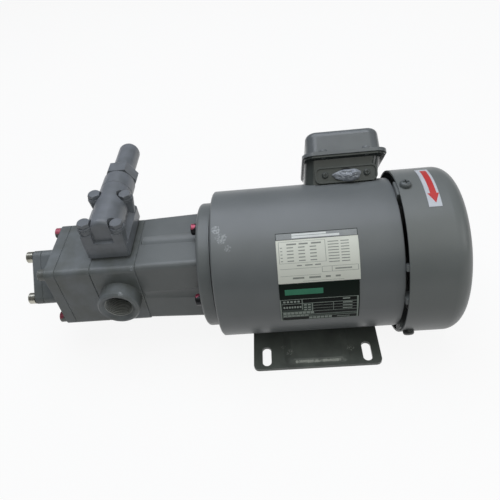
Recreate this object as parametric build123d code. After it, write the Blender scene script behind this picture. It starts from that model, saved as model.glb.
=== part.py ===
from build123d import *
import math
import os

# Trochoid oil pump with relief valve on a foot-mounted fan-cooled motor.
# Millimetres. +Y runs along the shaft from the pump to the fan, +Z is up, and the
# origin lies on the base plane at the centre of the four foot slots.

# ---------------------------------------------------------------- driving sizes
SHAFT_HEIGHT = 71.0          # base plane to shaft axis

# Motor frame and brackets
FRAME_RADIUS = 64.7
FRAME_WALL = 2.5
FRAME_FRONT = -80.4          # drive end of the rolled frame
FRAME_REAR = 69.0            # fan end of the rolled frame
BRACKET_WALL = 8.0
SEAT_HEIGHT = 2.0            # machined seat that the adapter flange bolts to
SEAT_RADIUS = 52.5
SPIGOT_RADIUS = 35.0
SPIGOT_HEIGHT = 2.5
FLANGE_BOLT_CIRCLE = 42.5    # radius of the four flange bolts
FLANGE_BOLT_LENGTH = 16.0

# Motor inside
CORE_LENGTH = 60.0
CORE_CENTRE = -4.0           # station of the middle of the core
CORE_DEPTH = 28.7            # frame's outside to the bore of the core
SLOT_COUNT = 12
SLOT_OPENING = (4.0, 2.6)    # depth and width
AIR_GAP = 0.35
WINDING_REACH = 20.0         # end winding beyond the core
SHAFT_BODY = 10.0            # motor shaft radius at the rotor
MOTOR_KEY = 5.0              # square key
STUB_RADIUS = 7.0
STUB_LENGTH = 30.0
BEARING_OUTER = 17.5
BEARING_BORE = 7.5
BEARING_WIDTH = 11.0
BALL_COUNT = 7
BALL_RADIUS = 3.2
GROOVE_RADIUS = 3.3
RACE_DEPTH = 2.2             # from the balls' circle to each ring

# Fan and its cover
COVER_RADIUS = 70.8          # stays clear of the base plane
COVER_WALL = 1.5
COVER_FRONT = 70.9
COVER_REAR = 121.0
COVER_CORNER = 14.0
COVER_SCREW_STATION = 77.0
COVER_SCREW_LENGTH = 8.0
COVER_SCREW_ANGLES = (90.0, -30.0, 210.0)
FAN_RADIUS = 60.0
FAN_DEPTH = 18.0
FAN_BLADES = 8
FAN_BORE = 6.0
FAN_CLEARANCE = 12.0         # frame's end to the fan's face
LOCATING_RIB_ANGLES = (8.0, 32.0, 152.0, 270.0)
GRILLE_RINGS = ((14.0, 18.5), (23.0, 27.5), (32.0, 36.5), (41.0, 45.5), (50.0, 54.5))
GRILLE_BARS = 6
GRILLE_BAR_WIDTH = 5.0

# Foot
FOOT_WIDTH = 139.0
FOOT_LENGTH = 114.0
FOOT_SHEET = 3.0
SLOT_SPACING_X = 112.0
SLOT_SPACING_Y = 90.0
SLOT_WIDTH = 8.0
SLOT_LENGTH = 20.8
FOOT_RISE = 3.0              # pressed-up middle above the pads
FOOT_PAD = 28.0              # length of each flat pad along the shaft
FOOT_LIP = 3.5               # flat strip in front of the pressed-up middle
FOOT_SLOPE = 6.0             # length of the slope between pad and middle
FOOT_CORNER = 5.0
FOOT_BEND = 1.5              # outer radius of the bend round the middle
CRADLE_HALF = 28.0           # half the width of the webs under the frame

# Terminal box, on an axis that leans away from the pump's outlet side
BOX_LEAN = 141.0             # angle from +X towards +Z
BOX_STATION = 34.5
BOX_RIM_LENGTH = 69.0        # along the shaft
BOX_RIM_WIDTH = 78.4
BOX_RIM_REACH = 80.4         # shaft axis to the joint face of the box
BOX_RIM_THICKNESS = 2.2
BOX_NECK_REACH = 50.0
BOX_NECK = (61.0, 58.0)      # length and width at the neck
BOX_NECK_SHIFT = -6.0        # neck's middle from the box's middle, along the shaft
BOX_MOUTH_MARGIN = (4.5, 12.4)    # rim's length and width less those of the mouth under it
BOX_MOUTH_SHIFT = -1.4
BOX_CORNER = 9.0
BOX_WALL = 2.2
BOX_GASKET = 1.0
LID_REACH = 105.5
LID_FLANGE = 1.6
LID_LIP = 1.2                # turned-down edge outside the rim
LID_LIP_DEPTH = 1.4
GASKET_MARGIN = (13.0, 20.0)      # rim's length and width less the gasket's opening
LID_ROOT_MARGIN = (4.0, 14.4)     # rim's length and width less the crown's, at the flange
LID_TOP_MARGIN = (6.5, 17.4)      # and at the crown's top
LID_CORNER = 10.0
LID_ROUND = 6.0              # between the crown's sides and its top
LID_SCREW_X = 18.0
LID_SCREW_EDGE = 2.9         # rim's long edges to the screws
LID_SCREW_LENGTH = 4.8
CABLE_HOLE = 4.6             # radius
ENTRY_LENGTH = 52.5          # cable entry plate
ENTRY_WIDTH = 14.0
ENTRY_CORNER = 5.0
ENTRY_PLATE = 1.6            # thickness
ENTRY_BORDER = 1.5           # width of the raised border
ENTRY_SCREW_LENGTH = 5.0
ENTRY_SCREW = 17.5
ENTRY_DROP = 15.9            # joint face of the box to the middle of the entry
LEAD_HOLE = 10.0             # radius of the window in the frame under the box
BLOCK_GAP = 0.3              # floor of the box to the foot of the terminal block
BLOCK_HEIGHT = 8.0
BLOCK_SIZE = (12.0, 40.0)
STUD_PITCH = 13.0
BLOCK_PLACE = -19.0          # along the shaft from the box's middle

# Plates: start and end angle round the shaft, start and end station
PLATE_THICKNESS = 0.5
RATING_PLATE = (26.3, 61.3, -28.4, 35.0)
PUMP_PLATE = (-7.0, 25.8, -28.4, 34.0)
ARROW_LABEL = (70.0, 111.0, 90.0, 100.0)
LABEL_THICKNESS = 0.2

# Pump
PUMP_HALF = 33.2             # half the side of the square pump body
PUMP_EDGE = 5.0              # rounded long edges
ADAPTER_FLANGE_RADIUS = 55.0
ADAPTER_FLANGE = 11.3
ADAPTER_LENGTH = 53.4        # square part
ADAPTER_FRONT_HALF = 32.9    # half the side of the square part, at the pump
ADAPTER_REAR_HALF = 34.2     # the same, at the flange
ADAPTER_LIFT = 0.6           # middle of the square part above the shaft
ADAPTER_BORE = 25.0
ADAPTER_WALL = 8.0           # wall at the pump
ADAPTER_SPIGOT_BORE = 15.0
TOOL_RADIUS = 10.3           # channel for the key of each flange bolt
DRAIN_RADIUS = 4.0
PORT_BODY_LENGTH = 38.9
HOUSING_LENGTH = 30.5
REAR_COVER = 9.5
CAP_HALF = 23.8
CAP_BODY = 12.0
CAP_COVER = 8.0
CAP_DROP = 1.6               # middle of the end cap below the shaft
CAP_CORNER = 6.0
CAP_BEVEL = 1.0
CAP_CHAMBER = 14.0           # radius of the chamber in the end cap
SEAM_BEVEL = 0.5             # on the edges where two castings meet
PUMP_BOLT_PLACE = 27.3       # corner bolts, from the shaft axis in X and in Z
PUMP_BOLT_THREAD = 10.0      # length inside the adapter
CAP_BOLT_CIRCLE = 26.0
CAP_BOLT_THREAD = 7.5        # length inside the rear cover
PUMP_SHAFT = 6.0             # radius
BUSH_WALL = 2.0
PORT_RADIUS = 12.0           # Rc 3/4 at its small end
PORT_THREAD_DEPTH = 20.0     # from the face of the boss
PORT_CHANNEL = 10.0          # radius of the cast way behind the thread
PORT_INNER = 12.5            # where the cast way ends, from the shaft axis
PORT_BOSS_RADIUS = 18.0
PORT_BOSS_HEIGHT = 14.0
PORT_MOUTH = 2.4             # bevel inside the port's mouth
PORT_BOSS_BEVEL = 1.6
SPIGOT_REACH = 6.0           # pump's nose inside the adapter
PORT_STATION = -166.5
SEAL_RADIUS = 11.0           # seat of the shaft seal

# Trochoid rotor set
OUTER_TEETH = 5
ECCENTRICITY = 2.9
TOOTH_CIRCLE = 22.0          # circle that carries the tooth centres
TOOTH_RADIUS = 9.5
OUTER_ROTOR_RADIUS = 24.0
ROTOR_GAP = 0.08             # between the two rotors
SIDE_GAP = 0.04              # rotor faces to the covers
KIDNEY_DEPTH = 14.0
FLANK_POINTS = 32            # points on each lobe of the inner rotor

# Relief valve
VALVE_STATION = -169.5
VALVE_AXIS_HEIGHT = 128.0
VALVE_PAD = 2.0
PAD_INSET = 1.2              # pad inside the valve's outline
GASKET_INSET = 0.5
GASKET = 0.8
VALVE_FRONT = 20.5
VALVE_BLOCK_REAR = -34.5
VALVE_WIDTH = 36.0
SHOULDER_DROP = 10.0         # axis to where the block's sides begin to slope
BLOCK_TOP_DROP = 4.0         # axis to the top of the block between the bolt bosses
VALVE_CORNER = 3.0
WALL_RISE = 3.0              # axis to the top of the wall at the front
VALVE_WALL = 6.0
PUMP_SIDE_RISE = 8.0         # axis to the two bolt bosses on the pump's side
MOTOR_SIDE_RISE = 5.4        # and to the two on the motor's side
BOSS_FOOT_DROP = 10.0        # axis to the foot of the bosses
VALVE_BOSS_RADII = (4.4, 6.6)
WASHER_SEAT = 6.5            # radius of the spot face round each bolt
VALVE_NOSE = 14.8            # radius of the barrel's front part
VALVE_NOSE_ROUND = 4.5
VALVE_BARREL = 14.3          # radius of the barrel
VALVE_BARREL_STEP = -6.5
VALVE_BARREL_REAR = -40.5
VALVE_BOLT_SPACING_Y = 26.4
VALVE_BOLT_FRONT = 13.8
VALVE_BOLT_REAR = -25.2
VALVE_THREAD = 4.2           # depth of the bolts' thread in the pump
VALVE_BORE = 7.5
PASSAGE_RADIUS = 3.4
PASSAGE_FRONT = 12.5         # way up from the delivery port
PASSAGE_REAR = -15.0         # way down to the suction port
SEAT_STATION = 7.0           # piston seat
SEAT_BORE = 4.5
POCKET_DEPTH = 3.2           # cast pocket in the valve's front
POCKET_HALF = 8.5
POCKET_DROP = 5.5            # axis to the floor of the pocket
PISTON_LENGTH = 15.0
SPRING_RADIUS = 4.6
SPRING_WIRE = 1.5
SPRING_TURNS = 6
SPRING_REAR = -36.5          # spring's end on the spring seat
BONNET_THREAD = 10.0
BONNET_THREAD_LENGTH = 10.0
BONNET_REAR = -76.0
BONNET_FLATS = 27.0
BONNET_COLLAR = 12.8         # radius of the turned part beside the hexagon
HEX_LENGTH = 13.0
HEX_REAR = 4.5               # from the bonnet's rear end to the hexagon
NECK_LENGTH = 8.0
CAP_RADIUS = 10.2
CAP_WALL = 2.0
CAP_REAR = -118.3
CAP_DOME = 9.0               # length of the rounded end
SCREW_RADIUS = 4.0
LOCK_NUT_FLATS = 13.0
LOCK_NUT_HEIGHT = 6.0

# Coupling between the shafts
JAW_COUNT = 3
HUB_RADIUS = 19.0
HUB_LENGTH = 14.0
JAW_LENGTH = 10.0
PUMP_KEY = 3.0               # square key
KEY_RISE = {PUMP_KEY: 1.5, MOTOR_KEY: 2.0}

# Fasteners: shank radius, head radius, head height, hexagon across flats
M6 = dict(shank=3.0, head=5.0, height=6.0, key=5.0)
M6_HEX = dict(shank=3.0, flats=10.0, height=4.0)
WASHER = dict(radius=6.2, thickness=1.6)
M5_PAN = dict(shank=2.5, head=4.6, height=3.6)
M4_PAN = dict(shank=2.0, head=3.6, height=2.6)
M3_PAN = dict(shank=1.5, head=2.8, height=2.0)
HOLE_PLAY = 0.3              # bolt shank to its clearance hole
THREAD_PLAY = 0.05           # bolt shank to its threaded hole
RUNNING_PLAY = 0.03          # shaft in a bush, piston in its bore

# ---------------------------------------------------------------- derived stations
SEAT_FACE = FRAME_FRONT - SEAT_HEIGHT
FLANGE_FACE = SEAT_FACE - ADAPTER_FLANGE
ADAPTER_FACE = FLANGE_FACE - ADAPTER_LENGTH
HOUSING_FACE = ADAPTER_FACE - PORT_BODY_LENGTH
COVER_FACE = HOUSING_FACE - HOUSING_LENGTH
CAP_FACE = COVER_FACE - REAR_COVER
CAP_SEAM = CAP_FACE - CAP_BODY
CAP_END = CAP_SEAM - CAP_COVER
STUB_END = SEAT_FACE - STUB_LENGTH
COUPLING_MIDDLE = STUB_END - JAW_LENGTH / 2
FAN_FACE = FRAME_REAR + FAN_CLEARANCE
CAP_HEIGHT = SHAFT_HEIGHT - CAP_DROP
PUMP_TOP = SHAFT_HEIGHT + PUMP_HALF
PAD_TOP = PUMP_TOP + VALVE_PAD
VALVE_BASE = PAD_TOP + GASKET
VALVE_SHOULDER = VALVE_AXIS_HEIGHT - SHOULDER_DROP
VALVE_BLOCK_TOP = VALVE_AXIS_HEIGHT - BLOCK_TOP_DROP
VALVE_WALL_TOP = VALVE_AXIS_HEIGHT + WALL_RISE
PUMP_SIDE_BOSS = VALVE_AXIS_HEIGHT + PUMP_SIDE_RISE
MOTOR_SIDE_BOSS = VALVE_AXIS_HEIGHT + MOTOR_SIDE_RISE
VALVE_BOSS_FOOT = VALVE_AXIS_HEIGHT - BOSS_FOOT_DROP
POCKET_FLOOR = VALVE_AXIS_HEIGHT - POCKET_DROP
CORE_BORE = FRAME_RADIUS - CORE_DEPTH
BLOCK_REACH = FRAME_RADIUS + BOX_WALL + BLOCK_GAP
ENTRY_REACH = BOX_RIM_REACH - ENTRY_DROP
LID_SCREW_Y = BOX_RIM_WIDTH / 2 - LID_SCREW_EDGE
BOX_MOUTH = (BOX_RIM_LENGTH - BOX_MOUTH_MARGIN[0], BOX_RIM_WIDTH - BOX_MOUTH_MARGIN[1])
LID_ROOT = (BOX_RIM_LENGTH - LID_ROOT_MARGIN[0], BOX_RIM_WIDTH - LID_ROOT_MARGIN[1])
LID_TOP = (BOX_RIM_LENGTH - LID_TOP_MARGIN[0], BOX_RIM_WIDTH - LID_TOP_MARGIN[1])
PORT_FACE = PUMP_HALF + PORT_BOSS_HEIGHT
SPRING_FLOOR = SEAT_STATION - 5.0
BOX_DIRECTION = (math.cos(math.radians(BOX_LEAN)), 0, math.sin(math.radians(BOX_LEAN)))
INNER_TEETH = OUTER_TEETH - 1
ROTOR_ROOT = TOOTH_CIRCLE - TOOTH_RADIUS + 2 * ECCENTRICITY
QUARTERS = (0.0, 90.0, 180.0, 270.0)
SPANS = (-1, 1)


# ---------------------------------------------------------------- forms along an axis
def rod_y(start, end, radius, x=0.0, z=SHAFT_HEIGHT):
    """Cylinder parallel to the shaft."""
    return Pos(x, (start + end) / 2, z) * Rot(90, 0, 0) * Cylinder(radius, abs(end - start))


def rod_x(start, end, radius, y, z):
    """Cylinder across the pump."""
    return Pos((start + end) / 2, y, z) * Rot(0, 90, 0) * Cylinder(radius, abs(end - start))


def rod_z(start, end, radius, x, y):
    """Upright cylinder."""
    return Pos(x, y, (start + end) / 2) * Cylinder(radius, abs(end - start))


def block(x_span, y_span, z_span):
    """Box between pairs of coordinates."""
    centre = [sum(span) / 2 for span in (x_span, y_span, z_span)]
    size = [abs(span[1] - span[0]) for span in (x_span, y_span, z_span)]
    return Pos(*centre) * Box(*size)


def prism_y(sketch, start, end, z=SHAFT_HEIGHT):
    """Section drawn in X and Z, carried along the shaft from start to end."""
    return Pos(0, end, z) * Rot(90, 0, 0) * extrude(sketch, amount=end - start)


def turned(stations, x=0.0, z=SHAFT_HEIGHT):
    """Body of revolution about the shaft, from (station, radius) corners."""
    outline = [(radius, station) for station, radius in stations]
    section = make_face(Polyline(*outline, close=True))
    return Pos(x, 0, z) * revolve(section, Axis.Y)


def turned_x(places, y, z):
    """Body of revolution about an axis across the pump, from (x, radius) corners."""
    section = make_face(Polyline(*places, close=True))
    return Pos(0, y, z) * revolve(section, Axis.X)


def polar(radius, angle):
    """X offset and height of a point round the shaft axis."""
    return radius * math.cos(math.radians(angle)), SHAFT_HEIGHT + radius * math.sin(math.radians(angle))


def annulus_sector(inner, outer, start_angle, end_angle):
    """Flat ring segment between two angles."""
    middle = math.radians((start_angle + end_angle) / 2)
    first, last = math.radians(start_angle), math.radians(end_angle)

    def at(radius, angle):
        return radius * math.cos(angle), radius * math.sin(angle)

    edges = [
        ThreePointArc(at(outer, first), at(outer, middle), at(outer, last)),
        Line(at(outer, last), at(inner, last)),
        ThreePointArc(at(inner, last), at(inner, middle), at(inner, first)),
        Line(at(inner, first), at(outer, first)),
    ]
    return make_face(Wire(edges))


def group(solids):
    """Like pieces kept as separate solids in one node."""
    return Compound(children=list(solids))


# ---------------------------------------------------------------- fasteners
def socket_bolt(length, size=M6):
    """Socket-head bolt that points down, with its bearing face at z = 0."""
    head = Pos(0, 0, size["height"] / 2) * Cylinder(size["head"], size["height"])
    head = chamfer(head.edges().group_by(Axis.Z)[-1], 0.6)
    socket = extrude(RegularPolygon(size["key"] / 2, 6, major_radius=False), amount=size["height"] / 2)
    shank = Pos(0, 0, -length / 2) * Cylinder(size["shank"], length)
    return head + shank - Pos(0, 0, size["height"] / 2) * socket


def hex_bolt(length, size=M6_HEX):
    """Hexagon-head bolt that points down, with its bearing face at z = 0."""
    head = extrude(RegularPolygon(size["flats"] / 2, 6, major_radius=False), amount=size["height"])
    rounding = Cone(size["flats"] * 1.05, size["flats"] * 0.475, size["height"] + 1)
    head = head & Pos(0, 0, size["height"] / 2 - 0.5) * rounding
    return head + Pos(0, 0, -length / 2) * Cylinder(size["shank"], length)


def pan_screw(length, size):
    """Cross-recess pan-head screw that points down, with its bearing face at z = 0."""
    head = Pos(0, 0, size["height"] / 2) * Cylinder(size["head"], size["height"])
    head = fillet(head.edges().group_by(Axis.Z)[-1], size["height"] * 0.6)
    shank = Pos(0, 0, -length / 2) * Cylinder(size["shank"], length)
    arm = Box(size["head"] * 1.1, size["head"] * 0.2, size["height"] * 0.9)
    recess = Pos(0, 0, size["height"]) * (arm + Rot(0, 0, 90) * arm)
    return head + shank - recess


# Turns a fastener that points down so that its head faces -Y, towards the pump end.
HEAD_TO_PUMP = Rot(90, 0, 0)


# ---------------------------------------------------------------- motor frame
def motor_frame():
    shell = turned([
        (FRAME_FRONT, FRAME_RADIUS - FRAME_WALL), (FRAME_FRONT, FRAME_RADIUS - 1.2),
        (FRAME_FRONT + 1.2, FRAME_RADIUS), (FRAME_REAR, FRAME_RADIUS),
        (FRAME_REAR, FRAME_RADIUS - FRAME_WALL),
    ])
    lead_window = box_plane(FRAME_RADIUS - 2 * FRAME_WALL) * Circle(LEAD_HOLE)
    return shell - extrude(lead_window, amount=4 * FRAME_WALL)


def drive_end_bracket():
    """Cast end shield with the spigot and seat for the adapter and a bearing pocket."""
    inner = FRAME_RADIUS - FRAME_WALL - 0.05
    face = FRAME_FRONT
    back = face + BRACKET_WALL
    pocket_floor = back - 3.0
    hub_end = pocket_floor + BEARING_WIDTH + 0.5
    shield = turned([
        (SEAT_FACE - SPIGOT_HEIGHT, STUB_RADIUS + 2), (SEAT_FACE - SPIGOT_HEIGHT, SPIGOT_RADIUS),
        (SEAT_FACE, SPIGOT_RADIUS), (SEAT_FACE, SEAT_RADIUS), (face, SEAT_RADIUS),
        (face, inner), (back, inner), (back, BEARING_OUTER + 6), (hub_end, BEARING_OUTER + 4),
        (hub_end, BEARING_OUTER), (pocket_floor, BEARING_OUTER), (pocket_floor, STUB_RADIUS + 2),
    ])
    for angle in QUARTERS:
        x, z = polar(FLANGE_BOLT_CIRCLE, angle)
        shield -= rod_y(SEAT_FACE - 1, back + 1, M6["shank"] + THREAD_PLAY, x, z)
    return shield


def fan_end_bracket():
    """Cast end shield at the fan, with three lugs that carry the fan cover's screws."""
    inner = FRAME_RADIUS - FRAME_WALL - 0.05
    back = FRAME_REAR + 1.0
    front = back - BRACKET_WALL
    pocket_floor = front + 3.0
    hub_start = pocket_floor - BEARING_WIDTH - 3.5
    shield = turned([
        (back, STUB_RADIUS + 2), (back, inner), (front, inner), (front, BEARING_OUTER + 6),
        (hub_start, BEARING_OUTER + 4), (hub_start, BEARING_OUTER), (pocket_floor, BEARING_OUTER),
        (pocket_floor, STUB_RADIUS + 2),
    ])
    lug_height = COVER_RADIUS - COVER_WALL - 0.05
    for angle in COVER_SCREW_ANGLES:
        lug = annulus_sector(inner - 6, lug_height, angle - 7, angle + 7)
        shield += prism_y(lug, FRAME_REAR + 0.05, COVER_SCREW_STATION + 5)
    for angle in LOCATING_RIB_ANGLES:
        rib = annulus_sector(inner - 4, lug_height, angle - 2, angle + 2)
        shield += prism_y(rib, FRAME_REAR + 0.05, COVER_SCREW_STATION + 3)
    for angle in COVER_SCREW_ANGLES:
        shield -= radial_hole(angle, COVER_SCREW_STATION, M5_PAN["shank"] + THREAD_PLAY, 9.0)
    return shield


def radial_plane(radius, angle, station):
    """Plane on a drum round the shaft, with its normal pointing outwards."""
    x, z = polar(radius, angle)
    direction = (math.cos(math.radians(angle)), 0, math.sin(math.radians(angle)))
    return Plane(origin=(x, station, z), x_dir=(0, 1, 0), z_dir=direction)


def radial_hole(angle, station, radius, depth):
    """Cutter for a hole that runs inwards from the fan cover."""
    circle = radial_plane(COVER_RADIUS + 1, angle, station) * Circle(radius)
    return extrude(circle, amount=-(depth + 1))


# ---------------------------------------------------------------- stator and rotor
def stator_core():
    """Laminated core with open slots round the bore."""
    start, end = CORE_CENTRE - CORE_LENGTH / 2, CORE_CENTRE + CORE_LENGTH / 2
    section = Circle(FRAME_RADIUS - FRAME_WALL - 0.05) - Circle(CORE_BORE)
    slot = Pos(CORE_BORE + 1.5, 0) * Rectangle(*SLOT_OPENING)
    for step in range(SLOT_COUNT):
        section -= Rot(0, 0, step * 360 / SLOT_COUNT) * slot
    return prism_y(section, start, end)


def stator_windings():
    """End windings on both sides of the core, tied and varnished into rings."""
    rings = []
    for side in SPANS:
        face = CORE_CENTRE + side * (CORE_LENGTH / 2 + 0.05)
        far = face + side * WINDING_REACH
        rings.append(turned([
            (face, CORE_BORE + 4), (far - side * 5, CORE_BORE + 4), (far, CORE_BORE + 8),
            (far, FRAME_RADIUS - 13), (far - side * 6, FRAME_RADIUS - 8), (face, FRAME_RADIUS - 8),
        ]))
    return group(rings)


def motor_rotor():
    """Squirrel cage: laminated core with a die-cast end ring on each side."""
    radius = CORE_BORE - AIR_GAP
    start, end = CORE_CENTRE - CORE_LENGTH / 2, CORE_CENTRE + CORE_LENGTH / 2
    bore = SHAFT_BODY + 0.02
    return turned([
        (start - 8, bore + 12), (start - 8, radius - 2), (start, radius), (end, radius),
        (end + 8, radius - 2), (end + 8, bore + 12), (end, bore + 8), (end, bore),
        (start, bore), (start, bore + 8),
    ])


def motor_shaft():
    """Stepped shaft: keyed stub, bearing seats, rotor seat and fan seat."""
    drive_seat, fan_seat = drive_bearing_station(), fan_bearing_station()
    half = BEARING_WIDTH / 2
    bore = BEARING_BORE
    shaft = turned([
        (STUB_END, 0), (STUB_END, STUB_RADIUS - 0.8), (STUB_END + 0.8, STUB_RADIUS),
        (drive_seat - half - 1, STUB_RADIUS), (drive_seat - half - 1, bore),
        (drive_seat + half, bore), (drive_seat + half, SHAFT_BODY),
        (fan_seat - half, SHAFT_BODY), (fan_seat - half, bore), (fan_seat + half, bore),
        (fan_seat + half, FAN_BORE), (FAN_FACE + FAN_DEPTH, FAN_BORE), (FAN_FACE + FAN_DEPTH, 0),
    ])
    key_foot = SHAFT_HEIGHT + STUB_RADIUS + KEY_RISE[MOTOR_KEY] - MOTOR_KEY
    half = MOTOR_KEY / 2
    keyway = block((-half, half), (STUB_END + 2, STUB_END + 22), (key_foot, SHAFT_HEIGHT + STUB_RADIUS + 1))
    return shaft - keyway


def drive_bearing_station():
    return FRAME_FRONT + BRACKET_WALL - 3.0 + 0.1 + BEARING_WIDTH / 2


def fan_bearing_station():
    return FRAME_REAR + 1.0 - BRACKET_WALL + 3.0 - 0.6 - BEARING_WIDTH / 2


def bearing_rings(outer):
    """Outer or inner rings of both deep-groove ball bearings."""
    middle = (BEARING_OUTER + BEARING_BORE) / 2
    rings = []
    for station in (drive_bearing_station(), fan_bearing_station()):
        start, end = station - BEARING_WIDTH / 2, station + BEARING_WIDTH / 2
        if outer:
            ring = turned([(start, BEARING_OUTER - 0.02), (end, BEARING_OUTER - 0.02),
                           (end, middle + RACE_DEPTH), (start, middle + RACE_DEPTH)])
        else:
            ring = turned([(start, BEARING_BORE + 0.02), (end, BEARING_BORE + 0.02),
                           (end, middle - RACE_DEPTH), (start, middle - RACE_DEPTH)])
        groove = Pos(0, station, SHAFT_HEIGHT) * Rot(90, 0, 0) * Torus(middle, GROOVE_RADIUS)
        rings.append(ring - groove)
    return group(rings)


def bearing_balls():
    """Ring of balls in each bearing."""
    middle = (BEARING_OUTER + BEARING_BORE) / 2
    balls = []
    for station in (drive_bearing_station(), fan_bearing_station()):
        for step in range(BALL_COUNT):
            x, z = polar(middle, step * 360 / BALL_COUNT)
            balls.append(Pos(x, station, z) * Sphere(BALL_RADIUS))
    return group(balls)


def preload_washer():
    """Wave washer between the fan-end bearing and its pocket's floor, shown flat."""
    start = fan_bearing_station() + BEARING_WIDTH / 2
    return turned([(start + 0.05, 11.5), (start + 0.05, 17), (start + 0.55, 17), (start + 0.55, 11.5)])


def fan():
    """Moulded radial fan: hub, back plate and straight blades that work either way round."""
    face = FAN_FACE
    body = turned([
        (face, FAN_BORE + 0.02), (face, 24), (face + 1, 30), (face + 3, FAN_RADIUS - 6),
        (face + 5, FAN_RADIUS - 6), (face + 3.5, 24), (face + 3, 13), (face + FAN_DEPTH, 11),
        (face + FAN_DEPTH, FAN_BORE + 0.02),
    ])
    for step in range(FAN_BLADES):
        angle = step * 360 / FAN_BLADES + 10
        blade = Rot(0, 0, angle) * Pos(FAN_RADIUS / 2 + 8, 0) * Rectangle(FAN_RADIUS - 16, 2.0)
        body += prism_y(blade, face + 2, face + FAN_DEPTH)
    return body


def fan_cover():
    """Drawn sheet cover with rings of air slots in its end wall."""
    corner = COVER_CORNER
    outer = COVER_RADIUS
    inner = outer - COVER_WALL
    bend = math.sqrt(0.5)
    end_inside = COVER_REAR - COVER_WALL
    edges = [
        Line((outer, COVER_FRONT), (outer, COVER_REAR - corner)),
        ThreePointArc(
            (outer, COVER_REAR - corner),
            (outer - corner * (1 - bend), COVER_REAR - corner * (1 - bend)),
            (outer - corner, COVER_REAR)),
        Line((outer - corner, COVER_REAR), (0, COVER_REAR)),
        Line((0, COVER_REAR), (0, end_inside)),
        Line((0, end_inside), (outer - corner, end_inside)),
        ThreePointArc(
            (outer - corner, end_inside),
            (outer - corner + (corner - COVER_WALL) * bend,
             COVER_REAR - corner + (corner - COVER_WALL) * bend),
            (inner, COVER_REAR - corner)),
        Line((inner, COVER_REAR - corner), (inner, COVER_FRONT)),
        Line((inner, COVER_FRONT), (outer, COVER_FRONT)),
    ]
    shell = Pos(0, 0, SHAFT_HEIGHT) * revolve(make_face(Wire(edges)), Axis.Y)
    for start, end in GRILLE_RINGS:
        for step in range(GRILLE_BARS):
            angle = step * 360 / GRILLE_BARS
            half = 180 / GRILLE_BARS - math.degrees(GRILLE_BAR_WIDTH / 2 / start)
            slot = annulus_sector(start, end, angle - half, angle + half)
            shell -= prism_y(slot, COVER_REAR - 2 * COVER_WALL, COVER_REAR + 1)
    for angle in COVER_SCREW_ANGLES:
        shell -= radial_hole(angle, COVER_SCREW_STATION, M5_PAN["shank"] + HOLE_PLAY, 4.0)
    return shell


def cover_screws():
    return group(
        radial_plane(COVER_RADIUS + 0.02, angle, COVER_SCREW_STATION).location
        * pan_screw(COVER_SCREW_LENGTH, M5_PAN)
        for angle in COVER_SCREW_ANGLES)


# ---------------------------------------------------------------- foot
def foot():
    """Pressed plate: four slotted pads, a raised middle and two webs that cradle the frame."""
    plate = extrude(RectangleRounded(FOOT_WIDTH, FOOT_LENGTH, FOOT_CORNER), amount=FOOT_SHEET)
    width = FOOT_WIDTH - 2 * FOOT_LIP
    length = FOOT_LENGTH - 2 * FOOT_PAD
    middle = raised_middle(width, length, FOOT_SHEET)
    middle = fillet(middle.edges().group_by(Axis.Z)[-1], FOOT_BEND)
    plate = plate + middle - raised_middle(width - FOOT_SHEET, length - FOOT_SHEET, 0)
    for side_x in SPANS:
        for side_y in SPANS:
            slot = SlotOverall(SLOT_LENGTH, SLOT_WIDTH)
            place = Pos(side_x * SLOT_SPACING_X / 2, side_y * SLOT_SPACING_Y / 2, -1)
            plate -= place * extrude(slot, amount=FOOT_SHEET + 2)
    top = FOOT_SHEET + FOOT_RISE
    web = length / 2 - FOOT_SLOPE - FOOT_SHEET
    for side_y in SPANS:
        plate += block((-CRADLE_HALF, CRADLE_HALF),
                       (side_y * web - FOOT_SHEET / 2, side_y * web + FOOT_SHEET / 2),
                       (top - 0.5, SHAFT_HEIGHT - 40))
    return plate - rod_y(-FOOT_LENGTH, FOOT_LENGTH, FRAME_RADIUS + 0.02)


def raised_middle(width, length, floor):
    """Middle of the foot with sloping sides, or the hollow under it."""
    return loft([
        Pos(0, 0, floor) * RectangleRounded(width, length, 6),
        Pos(0, 0, floor + FOOT_RISE) * RectangleRounded(width - 2 * FOOT_RISE, length - 2 * FOOT_SLOPE, 4),
    ])


# ---------------------------------------------------------------- terminal box
def box_plane(reach):
    """Plane across the box axis. Its x runs along the shaft, its -y faces the open side."""
    x, z = polar(reach, BOX_LEAN)
    return Plane(origin=(x, BOX_STATION, z), x_dir=(0, 1, 0), z_dir=BOX_DIRECTION)


def box_section(reach, length, width, corner, shift=0.0):
    return box_plane(reach) * (Pos(shift, 0) * RectangleRounded(length, width, corner))


def mouth_section(shrink=0.0):
    length, width = BOX_MOUTH
    return box_section(BOX_RIM_REACH - BOX_RIM_THICKNESS, length - shrink, width - shrink,
                       BOX_CORNER - shrink / 2, BOX_MOUTH_SHIFT)


def neck_section(shrink=0.0):
    length, width = BOX_NECK
    corner = BOX_CORNER - shrink / 2
    return box_section(BOX_NECK_REACH, length - shrink, width - shrink, corner, BOX_NECK_SHIFT)


def lid_screw_holes(reach, radius, depth):
    """Four holes through the rim, gasket or lid flange."""
    holes = None
    for x in SPANS:
        for y in SPANS:
            circle = box_plane(reach) * (Pos(x * LID_SCREW_X, y * LID_SCREW_Y) * Circle(radius))
            hole = extrude(circle, amount=depth)
            holes = hole if holes is None else holes + hole
    return holes


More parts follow.
